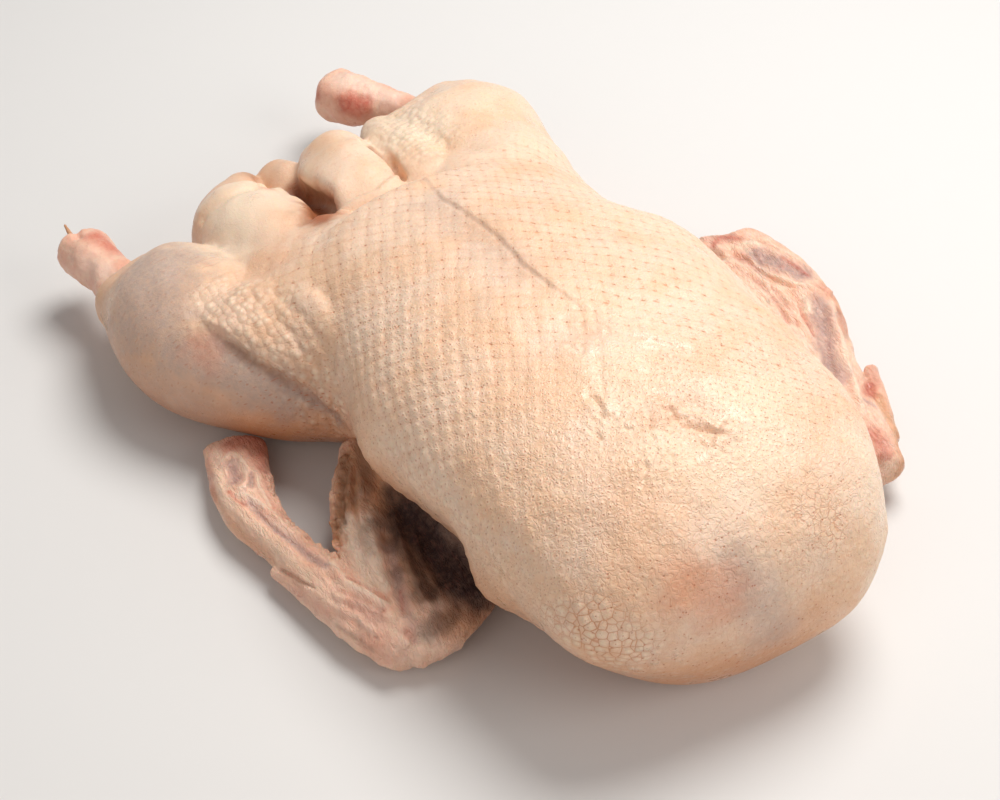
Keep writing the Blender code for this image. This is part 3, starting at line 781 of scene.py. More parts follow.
def makeTrunk():
    t = trunk
    mesh = bmesh.new()
    blunt = lambda distance, length, power: (1 - (1 - min(distance / length, 1)) ** power) ** (1 / power)
    start, fullWidth, fullTop, fullUnderside, _ = t["breast"][0]
    rows = []
    for behind in t["noseRows"]:
        taper = t["noseHalfWidth"] + (fullWidth - t["noseHalfWidth"]) * behind / (start - t["front"])
        lift = blunt(behind, *t["noseTop"])
        top = t["belt"] + (fullTop - t["belt"]) * lift
        underside = t["belt"] + (fullUnderside - t["belt"]) * blunt(behind, *t["noseUnderside"])
        middle = (top + underside) / 2
        shift = t["noseShift"][0] + (t["noseShift"][1] - t["noseShift"][0]) * (1 - lift)
        width = taper * blunt(behind, *t["noseWidth"])
        rows.append((shift, t["front"] + behind, middle, width, top - middle))
    for y, width, top, underside, shift in t["breast"]:
        rows.append((shift, y, (top + underside) / 2, width, (top - underside) / 2))
    loft(mesh, rows, square=2.1, caps=(0.05, 0.3), ring=110, egg=0.22, facing=Vector((0, 1, 0)))
    loft(mesh, t["pelvis"])
    for name, bulge in (("bellyLobe", 0.9), ("tailLobe", 0.9), ("leftMound", 0.8), ("leftTail", 0.8)):
        loft(mesh, t[name], caps=(0.6, bulge))
    loft(mesh, t["flap"], square=3.2, ring=72)
    for name in ("drumstick", "leftFlank", "thigh", "thighCorner", "rightFlank"):
        loft(mesh, t[name], ring=72)
    piece = fuse("gooseTrunk", mesh, t["voxel"], t["smoothing"])
    coords = coordsOf(piece)
    moved = coords.copy()
    for where, way, reach in t["pushes"]:
        far = ((coords - np.array(where) * mm) ** 2).sum(1)
        moved += np.array(way) * mm * np.exp(-far / (reach * mm) ** 2)[:, None]
    place(piece, moved)
    return piece


def swapMesh(piece):
    # the mesh that the piece's modifiers give takes the place of its own
    old = piece.data
    piece.data = evaluated(piece)
    piece.modifiers.clear()
    bpy.data.meshes.remove(old)
    piece.data.name = piece.name
    piece.data.shade_smooth()


def thinUnderside(piece):
    # fewer faces on the smooth underside, which leaves more for the skin that shows
    group = piece.vertex_groups.new(name="underside")
    low = coordsOf(piece)[:, 2] < trunk["thinBelow"] * mm
    group.add([int(i) for i in np.nonzero(low)[0]], 1.0, "REPLACE")
    thin = piece.modifiers.new("thin", "DECIMATE")
    thin.ratio = trunk["kept"]
    thin.vertex_group = group.name
    thin.vertex_group_factor = 1000
    swapMesh(piece)
    piece.vertex_groups.clear()


def refine(piece, lines, reach=0.0042):
    # finer faces within reach of the lines, so that their folds come out clean
    coords = coordsOf(piece)
    close = np.zeros(len(coords), bool)
    for points in lines:
        close |= lineDistance(coords, points)[0] < reach
    mesh = bmesh.new()
    mesh.from_mesh(piece.data)
    mesh.verts.ensure_lookup_table()
    edges = [edge for edge in mesh.edges if close[edge.verts[0].index] and close[edge.verts[1].index]]
    bmesh.ops.subdivide_edges(mesh, edges=edges, cuts=1, use_grid_fill=True, smooth=0.0)
    mesh.to_mesh(piece.data)
    mesh.free()
    piece.data.shade_smooth()


def latticeOn(coords):
    # distance round the body from the keel and along it, turned into rows and columns of follicles
    t = tracts
    x, y, z = coords.T
    inMetres = lambda values: np.array(values) / 1000
    belt, wide, tall = inMetres((t["belt"], *t["ring"]))
    halfWidth = np.interp(y, *inMetres(t["halfWidths"]))
    height = np.interp(y, *inMetres(t["heights"]))
    angle = np.arctan2((x - t["keel"] / 1000) / halfWidth, (z - belt) / np.where(z > belt, height, belt))
    table = np.linspace(-math.pi, math.pi, 721)
    ring = np.stack([wide * np.sin(table), tall * np.cos(table)], 1)
    steps = np.concatenate(([0], np.cumsum(np.linalg.norm(np.diff(ring, axis=0), axis=1))))
    steps -= np.interp(0, table, steps)
    girth = np.interp(angle, table, steps) * halfWidth / wide
    girth = np.where(girth > 0, girth * t["rightSideDenser"], girth)
    # in front the surface turns down, so a step along it is a shorter step in y
    nose = np.minimum(y - t["noseStart"] / 1000, 0)
    along = y + nose * np.abs(nose) * t["noseStretch"]
    basis = np.array([[turn(math.radians(way)) * pitch / 1000
                       for way, pitch in zip(t["ways"], t["pitches"])] for turn in (math.cos, math.sin)])
    return np.stack([girth, along], 1) @ np.linalg.inv(basis).T


def wrinkleTrunk(piece):
    # pushes creases, folds and overlaps into the skin; returns where the keel and the front are
    rough = coordsOf(piece)
    lines = {name: settle(rough, points) for name, (_, _, points) in creases.items()}
    edges = [(*row[:3], settle(rough, row[3])) for row in overlaps.values()]
    thin = [(depth, width, settle(rough, points)) for depth, width, points in wrinkles]
    refine(piece, [lines["keel"]] + [row[3] for row in edges] + [row[2] for row in thin])
    coords, normals = coordsOf(piece), perVertex(piece, "normal")
    _, keelCourse, keelBeside = lineDistance(coords, lines["keel"])
    rise = np.zeros(len(coords))
    for name, (depth, width, _) in creases.items():
        press(rise, coords, lines[name], depth, width, **foldLook["crease"])
    for height, crisp, reach, points in edges:
        far, where, beside = lineDistance(coords, points)
        fade = ramp(where, *foldLook["overlapEnds"]) * ramp(1 - where, *foldLook["overlapEnds"])
        upper = 0.5 - 0.5 * np.tanh(beside / (crisp * mm))
        rise += height * mm * fade * upper * bell(far, reach * mm)
    crooked = coords + mm * np.stack([ripple(coords, 0.009, seed) + 0.4 * ripple(coords, 0.004, seed + 3)
                                      for seed in (91, 92, 93)], 1)
    for depth, width, points in thin:
        press(rise, crooked, points, depth, width, **foldLook["wrinkle"])
    for k, (height, reach, spacing, way, points) in enumerate(foldPatches):
        near = bell(lineDistance(coords, settle(rough, points))[0], reach * mm)
        line = np.array((math.cos(math.radians(way)), math.sin(math.radians(way)), 0))
        drawn = coords - foldLook["drawnOut"] * (coords @ line)[:, None] * line
        folds = np.abs(ripple(drawn + foldLook["crook"] * (crooked - coords), spacing * mm, 200 + k))
        rise -= height * mm * near * (1 - np.minimum(folds * foldLook["sharpness"], 1))
    top, front = (zone(coords, *skinZones[name]) for name in ("top", "front"))
    for height, size, seed in foldLook["topUneven"]:
        rise += height * top * ripple(coords, size, seed)
    height, size, seed = foldLook["frontUneven"]
    rise += height * front * top * ripple(coords, size, seed)
    place(piece, coords + normals * rise[:, None])
    return keelCourse, keelBeside, front


def markTrunk(piece, keelCourse, keelBeside, front):
    # numbers per vertex that say how much of each kind of skin shows where
    coords = coordsOf(piece)
    at = {name: zone(coords, *limits) for name, limits in skinZones.items()}
    goose, crackle, scales = (spots(coords, skinPatches[name], seed)
                              for name, seed in (("goose", 5), ("crackle", 8), ("scales", 9)))
    store(piece, "lattice", *latticeOn(coords).T, np.zeros(len(coords)))
    # painted shade: the lower sides darker and tan, less so behind and at the front right; partly the skin's
    # own tan
    shadedLowSides = 0.75 * at["low"] * (1 - 0.5 * at["tail"]) * (1 - 0.7 * at["rightFront"])
    keelMask = ramp(keelCourse, 0.1, 0.2) * ramp(1 - keelCourse, 0, 0.25)
    store(piece, "keel", keelBeside, keelMask, shadedLowSides)
    rows = at["right"] * at["rightRows"] + (1 - at["right"]) * at["leftRows"]
    quilt = at["breastTop"] * rows * (0.75 + 0.25 * at["leftHalf"])
    pitting = at["belly"] * np.clip(0.25 + 0.75 * front + 0.7 * at["leftSide"], 0, 1)
    pitting = np.maximum(np.maximum(pitting, 0.5 * at["thighs"]), 0.4 * at["drumstick"])
    store(piece, "amounts", quilt, pitting, goose)
    store(piece, "domes", at["domes"])
    leather = np.clip(0.4 + 0.6 * front, 0, 1) * at["raised"] * (1 - 0.85 * at["behind"])
    store(piece, "texture", leather, crackle, scales)


def makeReliefTree():
    # pushes the skin out between the follicles, and into pebbles where the goosebumps are
    tree, given, result = newGroup("follicleRelief", {
        "Geometry": "Geometry", "Quilt Depth": 0.0004, "Dome Height": 0.0006, "Goosebump Height": 0.0008,
        "Goosebump Scale": 225.0, "Skin": "Material"}, ("Geometry",), "GeometryNodeTree")

    def named(name, kind="FLOAT_VECTOR"):
        return addNode(tree, "GeometryNodeInputNamedAttribute", {"Name": name}, data_type=kind)["Attribute"]

    waves = []
    for part in parts(named("lattice"))[:2]:
        wave = calc("SINE", times(minus(part, 0.1), math.pi))
        waves.append(times(wave, wave))
    bulge = times(*waves)
    quilt, _, goose = parts(named("amounts"))
    dome = times(calc("POWER", bulge, 1.2), named("domes", "FLOAT"))
    position = addNode(tree, "GeometryNodeInputPosition", {})[0]
    pebble = times(minus(0.6, cells(position, given["Goosebump Scale"], 0.55, "SMOOTH_F1")), goose)
    rise = plus(times(bulge, quilt, given["Quilt Depth"]), times(pebble, given["Goosebump Height"]))
    rise = plus(rise, times(dome, given["Dome Height"]))
    offset = scaled(addNode(tree, "GeometryNodeInputNormal", {})[0], rise)
    moved = follow("GeometryNodeSetPosition", {"Geometry": given["Geometry"], "Offset": offset})[0]
    real = follow("GeometryNodeRealizeInstances", {"Geometry": moved})[0]
    skinned = follow("GeometryNodeSetMaterial", {"Geometry": real, "Material": given["Skin"]})
    fill(result, {"Geometry": skinned[0]})
    return tree


def applyTree(piece, tree, values):
    # runs a node tree on a piece and keeps the plain mesh it gives
    modifier = piece.modifiers.new(tree.name, "NODES")
    modifier.node_group = tree
    for item in tree.interface.items_tree:
        if item.in_out == "INPUT" and item.name in values:
            modifier[item.identifier] = values[item.name]
    swapMesh(piece)


gooseTrunk = makeTrunk()
thinUnderside(gooseTrunk)
print("trunk fused:", len(gooseTrunk.data.polygons), "faces")
markTrunk(gooseTrunk, *wrinkleTrunk(gooseTrunk))
stainAndShading(gooseTrunk, trunkPatches, 11)
applyTree(gooseTrunk, makeReliefTree(), relief)
place(gooseTrunk, coordsOf(gooseTrunk))
print("trunk wrinkled and quilted")


# each wing: its joints, then lofts and stains (patches, with painted shade in the brown) as on the trunk
# relief: depth and width (a negative depth is a raised cord or ridge), points, and where the line is stained
# its colour, amount and radius; rough: height and reach of small uneven bumps, then points
leftWingShape = {
    "voxel": 0.88, "smoothing": 4, "roughStretch": (1, 1, 1),
    "shoulder": (-60, -62, 28), "elbow": (-86, 17, 24), "wrist": (-118, -84, 14),
    "forearm": ((-86, 17, 24, 16, 12), (-101, -12, 21.5, 20.5, 12), (-109, -40, 18, 20.5, 11.5),
        (-115, -66, 15.5, 17, 11.5), (-119, -85, 14, 15, 12)),
    "hand": ((-122, -85, 13, 14.5, 12.5), (-129, -64, 13, 16, 13), (-135.5, -42, 13, 14.2, 12),
        (-141.5, -21, 12, 11.4, 10.5), (-145, -3, 12, 10.6, 10), (-148.5, 18, 12, 13.5, 10),
        (-145.5, 40, 12, 15, 9), (-138, 64.5, 11, 15.5, 7)),
    "thumb": ((-139, -59, 11, 7.6, 8), (-146.5, -35, 11, 5.6, 6), (-154.5, -15, 10, 2.2, 3)),
    "fills": (((-120, -86.5, 12, 11, 10), (-103, -87, 14, 11, 9.5)),),
    "relief": (
        (-1, 3, ((-149, 60, 18), (-154, 47, 19), (-157, 37, 20), (-157, 23, 20), (-155, 7, 21),
        (-152, -8, 21), (-149, -21, 21), (-146, -34, 22)), "pale", 0.5, 3.2), (1.5, 3.8, ((-147, 48, 20),
        (-147, 43, 19), (-149, 36, 20)), "grey", 0.8, 3.8), (-0.7, 1.3, ((-149, 53, 20), (-144, 55, 20),
        (-141, 49, 20), (-142, 39, 21), (-145, 32, 20), (-150, 30, 21), (-153, 35, 21), (-151, 44, 19),
        (-149, 53, 20))), (1.4, 1.3, ((-141, 37, 21), (-143, 33, 21), (-145, 29, 21))),
        (-0.8, 0.9, ((-142, 46, 20), (-141, 38, 21), (-139, 36, 20), (-141, 28, 21),
        (-142, 14, 21)), "pale", 0.8, 1), (-1, 1.1, ((-151, 27, 22), (-149, 23, 22), (-147, 18, 21),
        (-145, 12, 21), (-142, 0, 21), (-139, -14, 21))), (1.5, 1.9, ((-150, 20, 22), (-149, 10, 21),
        (-146, -1, 20), (-143, -13, 21), (-141, -24, 22), (-137, -36, 23)), "grey", 0.8, 2.1),
        (-0.5, 0.6, ((-148, 10, 21), (-145, -2, 20), (-142, -14, 21), (-140, -24, 22))),
        (0.6, 0.8, ((-155, 31, 21), (-154, 25, 21), (-153, 19, 22)), "red", 0.8, 1.1),
        (1.3, 0.8, ((-154, -17, 14), (-151, -26, 17), (-148, -34, 18), (-145, -43, 20))),
        (-1.8, 1.9, ((-135, -35, 23), (-135, -47, 25), (-132, -55, 26), (-128, -62, 26), (-125, -70, 26),
        (-126, -76, 26), (-124, -82, 26))), (1.2, 0.9, ((-133, -46, 24), (-129, -53, 25), (-126, -59, 26),
        (-123, -67, 26), (-123, -73, 26))), (-1.1, 1.4, ((-142, -49, 23), (-137, -59, 25), (-134, -64, 26),
        (-130, -71, 26), (-128, -79, 26))), (0.9, 0.8, ((-139, -50, 23), (-134, -60, 25), (-131, -66, 26),
        (-127, -74, 26))), (-1, 1.5, ((-143, -57, 22), (-138, -67, 23), (-137, -72, 24), (-135, -78, 23),
        (-133, -83, 22))), (0.5, 0.9, ((-146, -62, 16), (-143, -71, 17), (-141, -76, 15), (-139, -83, 16))),
        (1.6, 1.7, ((-124, -87, 25), (-123, -89, 23), (-122, -91, 22))), (0.7, 0.8, ((-128, -93, 14),
        (-123, -93, 12), (-114, -90, 5))), (-1.4, 3.2, ((-111, -25, 31), (-115, -38, 29), (-120, -48, 27),
        (-121, -61, 27))), (-0.9, 1.5, ((-101, 8, 33), (-110, -6, 32), (-117, -20, 29), (-122, -32, 27))),
        (-0.8, 1.4, ((-100, 1, 34), (-106, -12, 33), (-113, -24, 31), (-117, -37, 29))),
        (0.9, 1, ((-103, 2, 34), (-110, -12, 31), (-116, -26, 29))), (0.9, 1, ((-106, 8, 31),
        (-114, -6, 30), (-120, -22, 27))), (1.8, 2.8, ((-105, -30, 31), (-109, -44, 28), (-113, -55, 27),
        (-117, -69, 26), (-119, -81, 25))), (-1, 1.2, ((-96, -22, 33), (-101, -38, 31), (-105, -55, 29),
        (-108, -70, 26), (-109, -84, 26))), (-0.9, 1.4, ((-95, -37, 34), (-99, -54, 32), (-101, -70, 29),
        (-102, -84, 27))), (2.2, 6, ((-97, -45, 31), (-98, -60, 31), (-97, -75, 28)))),
    "rough": ((1.7, 5, ((-101, 15, 32), (-108, 8, 30), (-114, 0, 29), (-119, -11, 28), (-123, -19, 25),
        (-127, -27, 21))), (0.9, 3.6, ((-133, 36, 16), (-134, 20, 18), (-135, 4, 18), (-133, -12, 18),
        (-130, -26, 20))), (0.3, 6, ((-138, -78, 20), (-135, -84, 20), (-130, -92, 18))),
        (0.35, 9, ((-107, -87, 26), (-103, -90, 25)))),
    "patches": {
        "red": ((0.65, 6, ((-141, 59, 19), (-133, 60, 17), (-126, 59, 15), (-132, 49, 18), (-134, 40, 18))),
            (0.8, 2.6, ((-144, 62, 18), (-135, 63, 18), (-127, 63, 15), (-124, 60, 13))),
            (0.4, 3, ((-154, 60, 14), (-158, 47, 15), (-161, 36, 14))), (0.25, 6, ((-138, -78, 20),
            (-135, -84, 20), (-130, -92, 18))), (0.25, 7, ((-140, -62, 22), (-134, -74, 24))),
            (0.5, 1, ((-139, -50, 23), (-134, -60, 25), (-127, -74, 26))), (0.5, 0.8, ((-133, -46, 24),
            (-129, -53, 25), (-123, -67, 26))), (0.5, 2, ((-124, -87, 25), (-122, -91, 22))),
            (0.3, 4, ((-152, -33, 13), (-147, -53, 17))), (0.5, 1, ((-116, -66, 26), (-120, -78, 26))),
            (0.3, 1.5, ((-137, 30, 19), (-140, 16, 21), (-140, 1, 21)))),
        "grey": ((1, 1.5, ((-141, 37, 21), (-145, 29, 21))), (0.5, 3.2, ((-108, -42, 28), (-113, -55, 27),
            (-117, -69, 26), (-119, -81, 25), (-119, -88, 25))), (0.4, 2.2, ((-124, -87, 25),
            (-122, -91, 22))), (0.25, 5, ((-134, -62, 25), (-130, -72, 25)))),
        # painted shade: the darkest brown covers the web where it lies under the body, over its own brown;
        # the rest of the brown lies on the forearm, the wrist and along a fold
        "brownAndShade": ((1, 18, ((-90, -36, 31), (-92, -53, 32), (-92, -67, 30), (-89, -80, 27))),
            (0.85, 6, ((-94, -20, 34), (-99, -34, 32), (-103, -48, 30), (-104, -60, 29), (-104, -76, 27))),
            (0.55, 5, ((-107, -87, 26), (-113, -91, 24), (-103, -90, 25))), (0.25, 1.2, ((-146, -62, 16),
            (-143, -71, 17), (-139, -83, 16))), (0.5, 4.5, ((-94, 12, 34), (-98, 2, 34), (-102, -10, 33))),
            (0.42, 6, ((-103, 14, 31), (-108, 0, 32), (-115, -10, 30), (-121, -18, 27)))),
        "pale": ((0.6, 1.8, ((-149, 53, 20), (-144, 55, 20), (-141, 49, 20), (-142, 39, 21), (-145, 32, 20),
            (-150, 30, 21))), (0.9, 1.3, ((-151, 27, 22), (-149, 23, 22), (-147, 18, 21), (-145, 12, 21),
            (-142, 0, 21))), (0.95, 1.9, ((-135, -35, 23), (-135, -47, 25), (-132, -55, 26),
            (-128, -62, 26), (-125, -70, 26))), (0.8, 4.5, ((-117, -20, 29), (-121, -34, 27),
            (-123, -44, 26), (-124, -55, 26))), (0.8, 3.6, ((-111, -25, 31), (-115, -38, 29),
            (-118, -50, 28), (-121, -61, 27))), (0.5, 1.6, ((-143, -57, 22), (-138, -67, 23),
            (-135, -78, 23))), (0.5, 2.5, ((-123, -93, 12), (-114, -90, 5))), (0.5, 7, ((-118, -90, 20),
            (-126, -90, 18)))),
        "skinned": ((0.9, 9, ((-101, 12, 32), (-107, 0, 32), (-115, -12, 30), (-122, -22, 26))),
            (0.7, 9, ((-100, -90, 22), (-92, -94, 20))), (0.9, 9, ((-94, 12, 34), (-98, -4, 34),
            (-98, -30, 33), (-100, -50, 30), (-101, -72, 28))), (0.5, 3.4, ((-154, 47, 19), (-157, 30, 20),
            (-155, 7, 21), (-149, -21, 21), (-146, -34, 22))), (0.5, 4, ((-157, 40, 14), (-159, 12, 14),
            (-155, -12, 14)))),
    },
}
rightWingShape = {
    "voxel": 0.94, "smoothing": 4, "roughStretch": (1, 0.28, 1),
    "shoulder": (58, -80, 30), "elbow": (114, 40, 24), "wrist": (114, -104, 18),
    "forearm": ((114, 40, 24, 18, 12), (117, -5, 22, 22.5, 12), (116, -55, 20, 20, 12),
        (114, -104, 18, 15, 12)),
    "hand": ((118, -106, 18, 16, 13), (126.5, -82, 18, 17, 13), (135.5, -56, 18, 14.5, 12),
        (147.5, -30, 19, 13, 11), (157.5, -6, 20, 14.2, 11), (158.5, 20, 21, 17, 10),
        (155, 42, 21, 18.8, 9), (151, 59, 20, 19, 8)),
    "thumb": ((135, -92, 18, 8, 8), (147, -71, 18, 6.5, 6.5), (158, -53, 19, 3.5, 4)),
    "fills": (((139, 44, 21, 11, 8), (140, 10, 21, 12, 9.5), (138, -18, 22, 11, 9), (130, -44, 23, 9, 8)),
        ((163, 48, 20, 9.5, 7.5), (150, 57, 20, 9, 7.5), (137, 64, 20, 8.5, 7))),
    "relief": (
        (-1.5, 1.4, ((150, 46, 30), (148, 39, 29), (146, 31, 30), (149, 22, 30), (151, 15, 31),
        (155, 9, 31), (160, 3, 31), (162, -2, 31))), (-0.7, 2.6, ((154, 49, 29),
        (157, 45, 30)), "pale", 0.95, 2.8), (1.5, 3.2, ((152, 38, 30), (156, 32, 30), (158, 24, 30),
        (161, 18, 29), (163, 12, 29)), "grey", 0.9, 6.5), (-0.9, 1.8, ((163, 47, 29), (164, 37, 30),
        (168, 24, 29), (169, 13, 28))), (-1.3, 3.6, ((167, 0, 29), (169, -4, 27)), "red", 0.35, 4.5),
        (-1, 2.2, ((153, -1, 31), (152, -6, 30), (149, -10, 29)), "pale", 0.95, 2.6),
        (1.6, 3, ((156, -10, 31), (153, -16, 29), (145, -30, 29), (137, -44, 29),
        (132, -58, 30)), "grey", 0.85, 6), (-1.5, 2, ((163, -11, 30), (156, -23, 30), (152, -34, 29),
        (146, -46, 29), (140, -59, 29), (132, -75, 31), (128, -83, 31)), "pale", 0.8, 1.9),
        (1.2, 1.4, ((143, 44, 28), (145, 37, 29), (145, 30, 29)), "red", 0.4, 2.4),
        (-1.1, 2.2, ((141, 37, 26), (142, 28, 25), (143, 16, 25), (144, 5, 23)), "pale", 0.5, 2.4),
        (1.1, 0.9, ((145, -1, 25), (143, -7, 23), (141, -12, 22)), "red", 0.7, 1), (1, 0.9, ((144, -9, 26),
        (142, -19, 27), (138, -29, 28)), "red", 0.7, 1), (1, 1.7, ((144, 30, 28), (144, 20, 28))),
        (1, 1.3, ((137, 40, 28), (140, 22, 29), (139, 4, 29), (134, -16, 29))), (0.8, 1.1, ((143, 16, 29),
        (141, 0, 29), (137, -20, 29))), (1, 2.6, ((148, -64, 24), (142, -72, 27)), "red", 1, 3.4)),
    "rough": ((0.35, 7, ((122, -97, 31), (122, -109, 31))), (1, 9, ((142, 44, 28), (141, 12, 29),
        (136, -24, 28)))),
    "patches": {
        "red": ((0.8, 2.3, ((140, 60, 24), (146, 62, 26), (152, 55, 29))), (0.7, 1.6, ((162, 30, 30),
            (164, 20, 30), (165, 11, 30))), (0.4, 2, ((158, 24, 30),)), (0.45, 1.4, ((137, 36, 28),
            (140, 18, 29), (139, 2, 29), (134, -14, 29))), (0.4, 1.2, ((143, 14, 29), (141, -2, 29),
            (138, -18, 29))), (0.5, 4.5, ((157, -55, 23), (148, -66, 24))), (0.75, 5.5, ((122, -97, 31),
            (123, -102, 31), (122, -109, 31))), (0.3, 4, ((165, -16, 27), (160, -29, 26)))),
        "grey": ((0.7, 2, ((134, -77, 30), (137, -81, 29))), (0.35, 2.5, ((145, 34, 29), (147, 24, 30))),
            (0.4, 4, ((140, 64, 26), (150, 60, 28)))),
        "brownAndShade": ((0.3, 2.2, ((137, 57, 26), (139, 52, 26))), (0.3, 1.7, ((144, 27, 27), (144, 22, 27))),
            (0.3, 1.6, ((142, 16, 20), (137, 5, 24))), (0.25, 3, ((165, -16, 27), (158, -33, 26)))),
        "pale": ((0.5, 8, ((138, 42, 28), (140, 20, 29), (139, 0, 29), (134, -22, 29), (126, -60, 30))),
            (0.95, 1.5, ((150, 46, 30), (148, 39, 29), (146, 31, 30), (149, 22, 30), (151, 15, 31),
            (155, 9, 31), (160, 3, 31))), (0.5, 2.2, ((139, 60, 24), (143, 55, 28), (149, 49, 29))),
            (0.4, 2.2, ((163, 47, 29), (168, 24, 29))), (0.4, 6, ((121, -114, 24), (118, -114, 16)))),
        "skinned": ((0.75, 5, ((145, -76, 22), (139, -96, 22), (130, -112, 22), (122, -117, 15))),
            (0.4, 3, ((168, 6, 26), (165, -16, 27)))),
    },
}


def loftWing(name, shape):
    between = lambda a, b, t: tuple(p + (q - p) * t for p, q in zip(a, b))
    shoulder, elbow, wrist = shape["shoulder"], shape["elbow"], shape["wrist"]
    armpit = between(shoulder, wrist, 0.6)
    mesh = bmesh.new()
    for rows in (
        ((*shoulder, 28, 20), (*between(shoulder, elbow, 0.5), 26, 18), (*elbow, 18, 15)),
        ((*between(shoulder, wrist, 0.10), 14, 12), (*between(shoulder, wrist, 0.55), 20, 10),
         (*between(shoulder, wrist, 0.95), 18, 10)),
        ((*between(armpit, elbow, 0.10), 22, 11), (*between(armpit, elbow, 0.80), 16, 11)),
        shape["forearm"], shape["hand"], shape["thumb"], *shape["fills"],
    ):
        loft(mesh, rows, ring=40)
    return fuse(name, mesh, shape["voxel"], shape["smoothing"])


def makeWing(name, shape, seed):
    piece = loftWing(name, shape)
    # cords, hollows and slits in the flesh, and its uneven edges
    coords = coordsOf(piece)
    rise = np.zeros(len(coords))
    patches = {kind: list(rows) for kind, rows in shape["patches"].items()}
    for depth, width, points, *dye in shape["relief"]:
        ends = None if points[0] == points[-1] else (-0.03, 0.12)   # a closed ring has no ends
        press(rise, coords, settle(coords, points), depth, width, ends, rim=(0.3, 1.9, 0.8))
        if dye:
            patches[dye[0]].append((dye[1], dye[2], points))
    for height, reach, points in shape["rough"]:
        near = bell(lineDistance(coords, settle(coords, points))[0], reach * mm)
        rise += height * mm * near * ripple(coords * shape["roughStretch"], 0.0045, seed + 2)
    rise += 0.00016 * ripple(coords * (1, 0.25, 1), 0.0035, seed) + 0.0003 * ripple(coords, 0.012, seed + 1)
    place(piece, coords + perVertex(piece, "normal") * rise[:, None])
    stainAndShading(piece, patches, seed + 10)
    piece.data.materials.append(wingFlesh)
    return piece


leftWing = makeWing("leftWing", leftWingShape, 31)
rightWing = makeWing("rightWing", rightWingShape, 51)
print("wings built:", len(leftWing.data.polygons), len(rightWing.data.polygons), "faces")


# each shank end: lofts and stains as on the trunk; uneven: how much of the small unevenness it has
shanks = {
    "leftShank": {
        "voxel": 0.8, "smoothing": 5, "loft": {"caps": (0.4, 0.35)}, "seed": 71, "uneven": 1,
        "notch": (2.6, 2.6, ((-157, 212, 48), (-156, 226, 44), (-156, 230, 34))),
        "rows": ((-145, 160, 34, 16, 16), (-150, 186, 35, 12, 12), (-153, 206, 34, 14.5, 13),
            (-155, 217, 34, 13.5, 11)),
        "patches": {
            "red": ((0.7, 6, ((-147, 206, 48), (-143, 196, 44))), (0.5, 5, ((-152, 226, 40),))),
            "grey": ((0.3, 6, ((-160, 200, 44),)),), "pale": ((0.5, 7, ((-156, 178, 48), (-160, 190, 44))),)},
    },
    "rightShank": {
        "voxel": 0.8, "smoothing": 5, "loft": {"caps": (0.4, 0.7)}, "seed": 81, "uneven": 1,
        "rows": ((55, 202, 40, 14, 13.5), (43, 232, 39.5, 10, 10), (27.5, 255, 36.5, 14.5, 14.5),
            (21.5, 268, 34.5, 15, 15)),
        "patches": {
            "red": ((0.8, 7, ((24, 242, 44), (18, 248, 42))), (0.6, 5, ((8, 268, 40), (14, 276, 36)))),
            "pale": ((0.6, 7, ((22, 262, 49), (38, 234, 50))),)},
    },
    "tendonSliver": {
        "voxel": 0.5, "smoothing": 3, "loft": {"ring": 24}, "seed": 89, "uneven": 0,
        "rows": ((-156, 206, 36, 2.4, 2.4), (-157.2, 217, 39.5, 1.7, 1.7), (-157.5, 228.5, 41.5, 0.7, 0.7)),
        "patches": {"brownAndShade": ((0.8, 30, ((-160, 222, 38),)),)},
    },
}


def makeShank(name):
    shape = shanks[name]
    mesh = bmesh.new()
    loft(mesh, shape["rows"], **shape["loft"])
    piece = fuse(name, mesh, shape["voxel"], shape["smoothing"])
    coords = coordsOf(piece)
    seed = shape["seed"]
    rise = shape["uneven"] * (0.0005 * ripple(coords, 0.014, seed) + 0.0001 * ripple(coords, 0.004, seed + 1))
    if "notch" in shape:
        depth, width, points = shape["notch"]
        rise -= depth * mm * bell(lineDistance(coords, settle(coords, points))[0], width * mm)
    place(piece, coords + perVertex(piece, "normal") * rise[:, None])
    piece.data.materials.append(shankSkin)
    stainAndShading(piece, shape["patches"], seed + 2)
    return piece


leftShank, rightShank, tendonSliver = (makeShank(name) for name in shanks)
print("shanks built")

for piece in (gooseTrunk, leftWing, rightWing, leftShank, rightShank, tendonSliver):
    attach(piece, "root")
    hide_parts("goose")


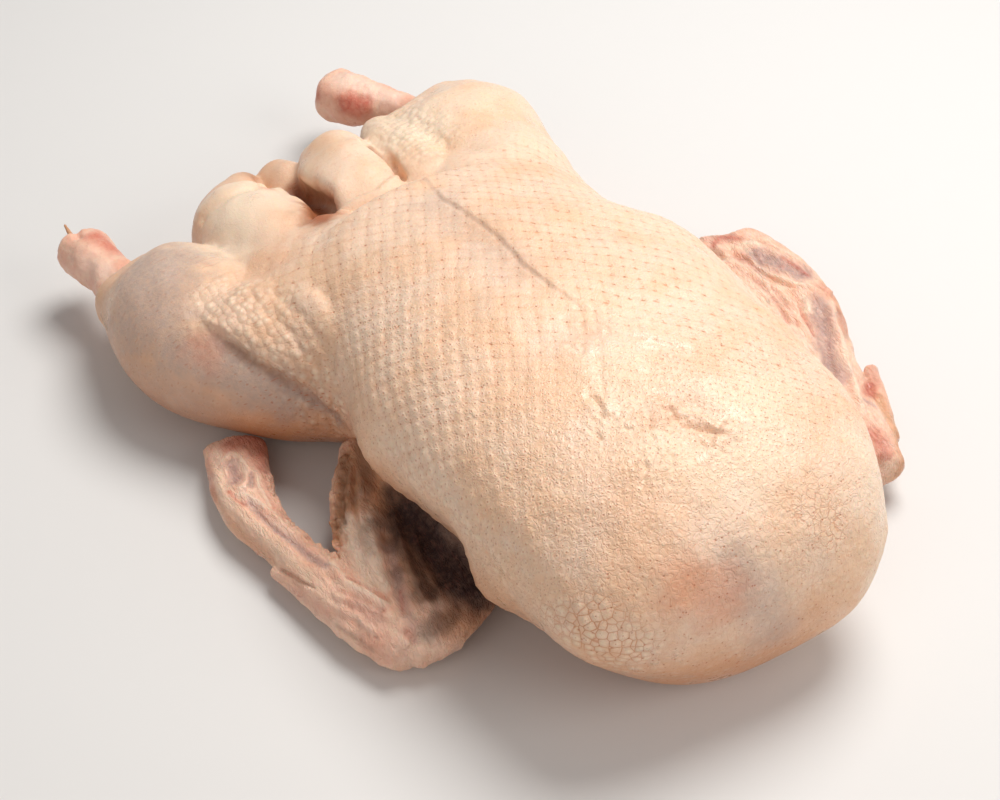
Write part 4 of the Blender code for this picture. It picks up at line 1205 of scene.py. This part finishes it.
stageSet = {
    "floor": tone(222, 220, 218), "floorGrain": tone(205, 203, 200), "halfSize": 4.0, "level": -0.0004,
    "world": {"Color": (0.84, 0.84, 0.85, 1), "Strength": 0.3}, "aim": (0, 0, 0.04),
    # place and size in metres, power, colour
    "lights": {"key": ((0.50, 0.22, 1.25), 0.8, 17.5, (1.0, 0.985, 0.96)),
               "fill": ((-0.95, -0.65, 0.75), 1.1, 2.9, (1.0, 0.92, 0.85)),
               "front": ((0.65, -1.0, 0.85), 0.9, 5.3, (1.0, 0.96, 0.92))},
}


def faceAlong(obj, way):
    obj.rotation_euler = way.to_track_quat("-Z", "Y").to_euler()


def makeStage():
    mesh = bmesh.new()
    bmesh.ops.create_grid(mesh, x_segments=24, y_segments=24, size=stageSet["halfSize"])
    bmesh.ops.translate(mesh, verts=mesh.verts, vec=(0, 0, stageSet["level"]))
    data = bpy.data.meshes.new("floor")
    mesh.to_mesh(data)
    mesh.free()
    floor = newObject("floor", data)
    material, _, shader, here = startMaterial("paleFloor", {"Roughness": 0.75})
    grain = times(noise(here, 60.0, 5.0), 0.06)
    fill(shader, {"Base Color": colourMix(grain, stageSet["floor"], stageSet["floorGrain"])})
    data.materials.append(material)
    world = bpy.data.worlds.new("studio")
    world.use_nodes = True
    fill(world.node_tree.nodes["Background"], stageSet["world"])
    bpy.context.scene.world = world
    for name, (position, size, power, colour) in stageSet["lights"].items():
        lamp = bpy.data.lights.new(name, "AREA")
        lamp.shape = "DISK"
        lamp.size, lamp.energy, lamp.color = size, power, colour
        obj = newObject(name, lamp)
        obj.location = position
        faceAlong(obj, Vector(stageSet["aim"]) - Vector(position))
    bpy.context.scene.view_settings.view_transform = "Standard"


# distance and target in metres, lens and sensor in millimetres
viewpoint = {"azimuth": -30, "elevation": 45, "distance": 0.924, "target": (-0.026, 0.0, 0.044), "lens": 70,
             "sensor": 36}


def makeCamera():
    lens = bpy.data.cameras.new("camera")
    lens.lens, lens.sensor_width = viewpoint["lens"], viewpoint["sensor"]
    lens.clip_start, lens.clip_end = 0.05, 30
    camera = newObject("camera", lens)
    a, e = math.radians(viewpoint["azimuth"]), math.radians(viewpoint["elevation"])
    back = Vector((math.sin(a) * math.cos(e), -math.cos(a) * math.cos(e), math.sin(e)))
    camera.location = Vector(viewpoint["target"]) + back * viewpoint["distance"]
    faceAlong(camera, -back)
    bpy.context.scene.camera = camera


makeStage()
makeCamera()
